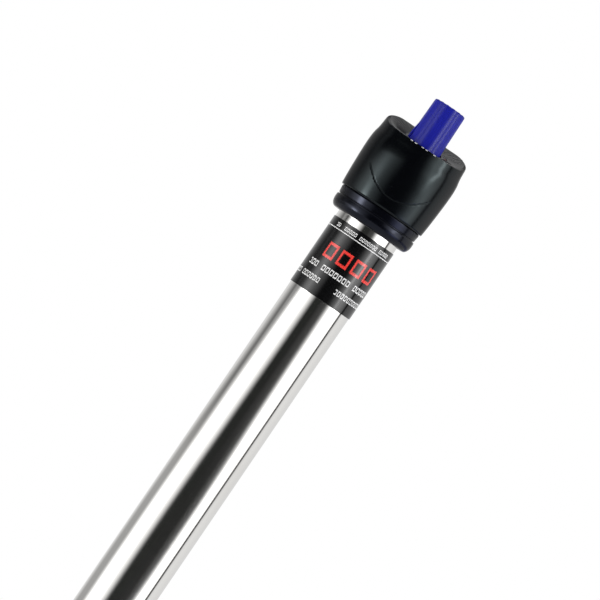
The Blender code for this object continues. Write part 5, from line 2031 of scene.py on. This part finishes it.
@dataclass(frozen=True)
class Surround:
    """Light all round the heater: two soft boxes at a dark card, and white behind.

    The ring table gives the light's level by the angle from the front, in degrees to the right.
    The other fields shape it by height. Angles are in degrees, and a span says where a change
    starts and where it ends.

    Attributes:
        ring: the ring table.
        strips: where the ring is brighter.
        brightest: level of the ring's white, above every level in the table.
        strip_heights: heights between which the strips lean.
        lean: turn of the right box below the horizon, and bend: more turn further down.
        lean_most: largest turn of the right box to the left.
        lean_from: where the right box begins to turn, beside the card.
        lean_to: where it ends to turn, beside the tube's edge.
        lean_left: turn of the left box.
        lean_floor: heights below which the turn fades, and lean_low what is left of it there.
        slope: how the foot of the left box's hidden part slants, as rise for each degree.
        slope_base: its height at the front.
        slope_fade: width of its soft edge.
        left_back: heights over which the left box shows again.
        right_top: heights over which the right box ends.
        front: angles from the front beyond which nothing is hidden.
        low_box: heights over which the foot of the right box gets its tint.
        low_tint: that tint.
        low_dim: share of the light that it loses there.
        dark: level of the dark card.
        card: tint of the card.
        wall: light on the far left below the horizon, between the heights wall_rise and the
            angles wall_side.
        above: heights over which the ceiling starts.
        ceiling: its grey.
    """

    ring: tuple[Point, ...] = (
        (-180.0, 0.75),
        (-147.0, 0.75),
        (-123.0, 0.40),
        (-112.0, 0.20),
        (-106.0, 0.15),
        (-92.0, 0.55),
        (-80.0, 1.4),
        (-68.0, 2.8),
        (-57.0, 3.4),
        (-47.0, 2.3),
        (-37.0, 1.3),
        (-28.0, 0.8),
        (-18.0, 0.2),
        (-13.0, 0.022),
        (5.0, 0.022),
        (12.0, 0.045),
        (25.0, 0.06),
        (29.0, 0.16),
        (32.5, 0.42),
        (36.0, 0.8),
        (40.0, 1.2),
        (47.0, 2.1),
        (55.0, 3.5),
        (67.0, 3.2),
        (80.0, 1.9),
        (87.0, 1.3),
        (89.6, 0.03),
        (94.0, 0.03),
        (97.5, 0.75),
        (106.0, 0.85),
        (147.0, 0.75),
        (180.0, 0.75),
    )
    strips: tuple[Strip, ...] = (
        Strip(54.5, 1.2, 2.0, 5.0, 2.2, -1.5, 4.5),
        Strip(-58.0, 0.0, 4.0, 8.0, 2.6, -2.0, -11.0),
    )
    brightest: float = 4.0
    strip_heights: Span = (-4.0, 12.0)
    lean: Bend = Bend(3.0, -1.2, -1000.0, 5.0)
    bend: Bend = Bend(4.5, 8.5, -1000.0, 0.0)
    lean_most: float = -19.0
    lean_from: Span = (4.0, 24.0)
    lean_to: Span = (62.0, 84.0)
    lean_left: Bend = Bend(-3.0, -3.0, 0.0, 9.0)
    lean_floor: Span = (-7.5, -5.5)
    lean_low: float = 0.2
    slope: float = 0.08
    slope_base: float = 4.8
    slope_fade: Span = (0.6, 3.6)
    left_back: Span = (27.0, 36.0)
    right_top: Span = (26.0, 44.0)
    front: Span = (84.0, 104.0)
    low_box: Span = (-12.0, -7.0)
    low_tint: Colour = (0.62, 0.66, 1.0)
    low_dim: float = 0.35
    dark: float = 0.022
    card: Colour = (0.96, 1.06, 1.0)
    wall: float = 0.4
    wall_rise: Span = (-3.2, -1.2)
    wall_side: Span = (-100.0, -86.0)
    above: Span = (30.0, 60.0)
    ceiling: Colour = (0.5, 0.5, 0.5)

    def turned_by(self, sky: Sky) -> bpy.types.NodeSocket:
        """Turns the ring by height, so that the edges of its boxes lean.

        Args:
            sky: the world's tree.

        Returns:
            The turn in degrees.
        """
        both = sky.math("ADD", self.lean.turn(sky, sky.rise), self.bend.turn(sky, sky.rise))
        starts = sky.between(sky.azimuth, *self.lean_from)
        ends = sky.between(sky.azimuth, *self.lean_to, 1.0, 0.0)
        right = sky.math("MAXIMUM", both, self.lean_most)
        right = sky.math("MULTIPLY", right, sky.math("MULTIPLY", starts, ends))
        turn = sky.either(sky.on_right, self.lean_left.turn(sky, sky.rise), right)
        low = sky.between(sky.rise, *self.lean_floor, self.lean_low, 1.0)
        return sky.math("MULTIPLY", turn, low)

    def ring_light(self, sky: Sky) -> bpy.types.NodeSocket:
        """Reads the ring table, as shares of the brightest level.

        Args:
            sky: the world's tree.

        Returns:
            The ring's grey.
        """
        node = sky.add("ShaderNodeValToRGB")
        steps = node.color_ramp.elements
        while len(steps) < len(self.ring):
            steps.new(1.0)
        for step, (angle, level) in zip(steps, self.ring):
            step.position = 0.5 + angle / 360.0
            step.color = (*[level / self.brightest] * 3, 1.0)
        around = sky.math("ADD", sky.azimuth, self.turned_by(sky))
        sky.feed(node.inputs[0], sky.math("MULTIPLY_ADD", around, 1 / 360.0, 0.5))
        return node.outputs[0]

    def strip_light(self, sky: Sky) -> bpy.types.NodeSocket:
        """Adds up the strips.

        Args:
            sky: the world's tree.

        Returns:
            1, and more in a strip.
        """
        least, most = self.strip_heights
        height = sky.math("MINIMUM", sky.math("MAXIMUM", sky.rise, least), most)
        total = 1.0
        for strip in self.strips:
            middle = sky.math("MULTIPLY_ADD", height, strip.slope, strip.angle)
            off = sky.math("ABSOLUTE", sky.math("SUBTRACT", sky.azimuth, middle))
            beside = sky.between(off, strip.width, strip.width + strip.fade, strip.level, 0.0)
            upright = sky.between(sky.rise, strip.dim, strip.bright)
            total = sky.math("MULTIPLY_ADD", beside, upright, total)
        return total

    def hidden(self, sky: Sky) -> bpy.types.NodeSocket:
        """Hides the boxes' upper parts in front from gloss, and from no other ray.

        Args:
            sky: the world's tree.

        Returns:
            1 where the ring is hidden.
        """
        slant = sky.math("MULTIPLY_ADD", sky.azimuth, self.slope, self.slope_base)
        over = sky.between(sky.math("SUBTRACT", sky.rise, slant), *self.slope_fade)
        left = sky.math("MULTIPLY", over, sky.between(sky.rise, *self.left_back, 1.0, 0.0))
        right = sky.between(sky.rise, *self.right_top)
        off = sky.math("ABSOLUTE", sky.azimuth)
        in_front = sky.between(off, *self.front, 1.0, 0.0)
        hidden = sky.math("MULTIPLY", sky.either(sky.on_right, left, right), in_front)
        return sky.math("MULTIPLY", hidden, sky.math("SUBTRACT", 1.0, sky.ray["Is Diffuse Ray"]))

    def light(self, sky: Sky) -> bpy.types.NodeSocket:
        """Puts ring, strips, card, wall and ceiling together.

        Args:
            sky: the world's tree.

        Returns:
            The light's colour.
        """
        low = sky.between(sky.rise, *self.low_box, 1.0, 0.0)
        low = sky.math("MULTIPLY", low, sky.on_right)
        level = sky.either(self.hidden(sky), self.brightest, 0.0)
        level = sky.math("MULTIPLY", level, self.strip_light(sky))
        level = sky.math("MULTIPLY", level, sky.math("MULTIPLY_ADD", low, -self.low_dim, 1.0))
        boxes = sky.vector("MULTIPLY", self.ring_light(sky), sky.blend(low, WHITE, self.low_tint))
        boxes = sky.vector("SCALE", boxes, level)
        boxes = sky.vector("MAXIMUM", boxes, tuple(self.dark * part for part in self.card))
        wall = sky.math(
            "MULTIPLY",
            sky.between(sky.rise, *self.wall_rise, self.wall, 0.0),
            sky.between(sky.azimuth, *self.wall_side, 1.0, 0.0),
        )
        boxes = sky.vector("MAXIMUM", boxes, wall)
        return sky.blend(sky.between(sky.rise, *self.above), boxes, self.ceiling)

    def build(self) -> None:
        """Makes the world: plain white for the eye, and the light for every other ray."""
        world = bpy.data.worlds.new("surround")
        world.use_nodes = True
        bpy.context.scene.world = world
        sky = Sky(world.node_tree)
        shader = world.node_tree.nodes["Background"]
        colour = sky.blend(sky.ray["Is Camera Ray"], self.light(sky), WHITE)
        sky.feed(shader.inputs["Color"], colour)
        sky.feed(shader.inputs["Strength"], 1.0)


@dataclass
class Studio:
    """White surround, a pale floor and the camera.

    Attributes:
        surround: the light.
        floor_radius: the floor's radius.
        floor_sides: its sides.
        floor_colour: its colour.
        floor_roughness: its roughness.
        floor_gloss: the shader's specular level on it.
        floor_fade: shares of its radius between which it fades into white for the eye.
        distance: from the camera to the heater.
        sensor: width of the camera's sensor, in its own millimetres.
        clip: nearest and furthest place that the camera sees.
        frame_width: what the picture takes in across, at the heater.
        target: what the camera looks at.
        look_up: how far it looks upwards, in degrees.
        lean: how far it leans, in degrees, so that the heater runs up to the right.
    """

    surround: Surround = Surround()
    floor_radius: float = 1.0
    floor_sides: int = 96
    floor_colour: Colour = (0.86, 0.86, 0.86)
    floor_roughness: float = 0.7
    floor_gloss: float = 0.1
    floor_fade: Span = (0.2, 0.9)
    distance: float = 1.3
    sensor: float = 36.0
    clip: Span = (0.01, 100.0)
    frame_width: float = 215.9 * MM
    target: Point3 = (-5.85 * MM, 0.0, 303.0 * MM)
    look_up: float = -0.2
    lean: float = 34.27

    def build_camera(self) -> None:
        """Sets the camera far in front, leaning so that the heater runs up to the right."""
        tilt, lean = math.radians(self.look_up), math.radians(self.lean)
        ahead = Vector((0.0, math.cos(tilt), math.sin(tilt)))
        up = Vector((0.0, -math.sin(tilt), math.cos(tilt)))
        across = Vector((1.0, 0.0, 0.0))
        right = across * math.cos(lean) + up * math.sin(lean)
        rise = up * math.cos(lean) - across * math.sin(lean)
        data = bpy.data.cameras.new("camera")
        data.sensor_width = self.sensor
        data.lens = self.sensor * self.distance / self.frame_width
        data.clip_start, data.clip_end = self.clip
        camera = bpy.data.objects.new("camera", data)
        bpy.context.scene.collection.objects.link(camera)
        turn = Matrix((right, rise, -ahead)).transposed().to_4x4()
        place = Vector(self.target) - ahead * self.distance
        camera.matrix_world = Matrix.Translation(place) @ turn
        bpy.context.scene.camera = camera

    def build_floor(self) -> None:
        """Pale round floor whose edge fades into the white surround."""
        clear_selection()
        bpy.ops.mesh.primitive_circle_add(
            vertices=self.floor_sides, radius=self.floor_radius, fill_type="NGON"
        )
        floor = named("floor")
        made, sheet, shader = bare_material("pale_floor")
        sheet.feed(shader.inputs["Base Color"], self.floor_colour)
        sheet.feed(shader.inputs["Roughness"], self.floor_roughness)
        sheet.feed(shader.inputs["Specular IOR Level"], self.floor_gloss)
        out = sheet.add("ShaderNodeVectorMath", operation="LENGTH")
        sheet.feed(out.inputs[0], sheet.place())
        near, far = (share * self.floor_radius for share in self.floor_fade)
        fade = sheet.between(out.outputs["Value"], near, far)
        glow = sheet.add("ShaderNodeEmission")
        seen = sheet.add("ShaderNodeLightPath").outputs["Is Camera Ray"]
        mix = sheet.add("ShaderNodeMixShader")
        sheet.feed(mix.inputs[0], sheet.math("MULTIPLY", fade, seen))
        sheet.feed(mix.inputs[1], shader.outputs[0])
        sheet.feed(mix.inputs[2], glow.outputs[0])
        sheet.feed(made.node_tree.nodes["Material Output"].inputs["Surface"], mix.outputs[0])
        floor.data.materials.append(made)

    def build(self) -> None:
        """Makes the camera, the light and the floor."""
        self.build_camera()
        self.surround.build()
        self.build_floor()
        bpy.context.scene.view_settings.view_transform = "Standard"


def main() -> None:
    """Builds every sub-assembly in order and reports each piece."""
    logging.basicConfig(level=logging.INFO, format="%(name)s: %(message)s")
    paints = Paintbox()
    Studio().build()
    Insides().build(paints)
    for assembly in (
        HeaterTube(),
        PrintedLabel(),
        ClampNut(),
        Head(),
        DialScale(),
        TemperatureKnob(),
        CordInlet(),
        Indicator(),
    ):
        LOG.info("building %s", type(assembly).__name__)
        assembly.build(paints)


if __name__ == "__main__":
    main()
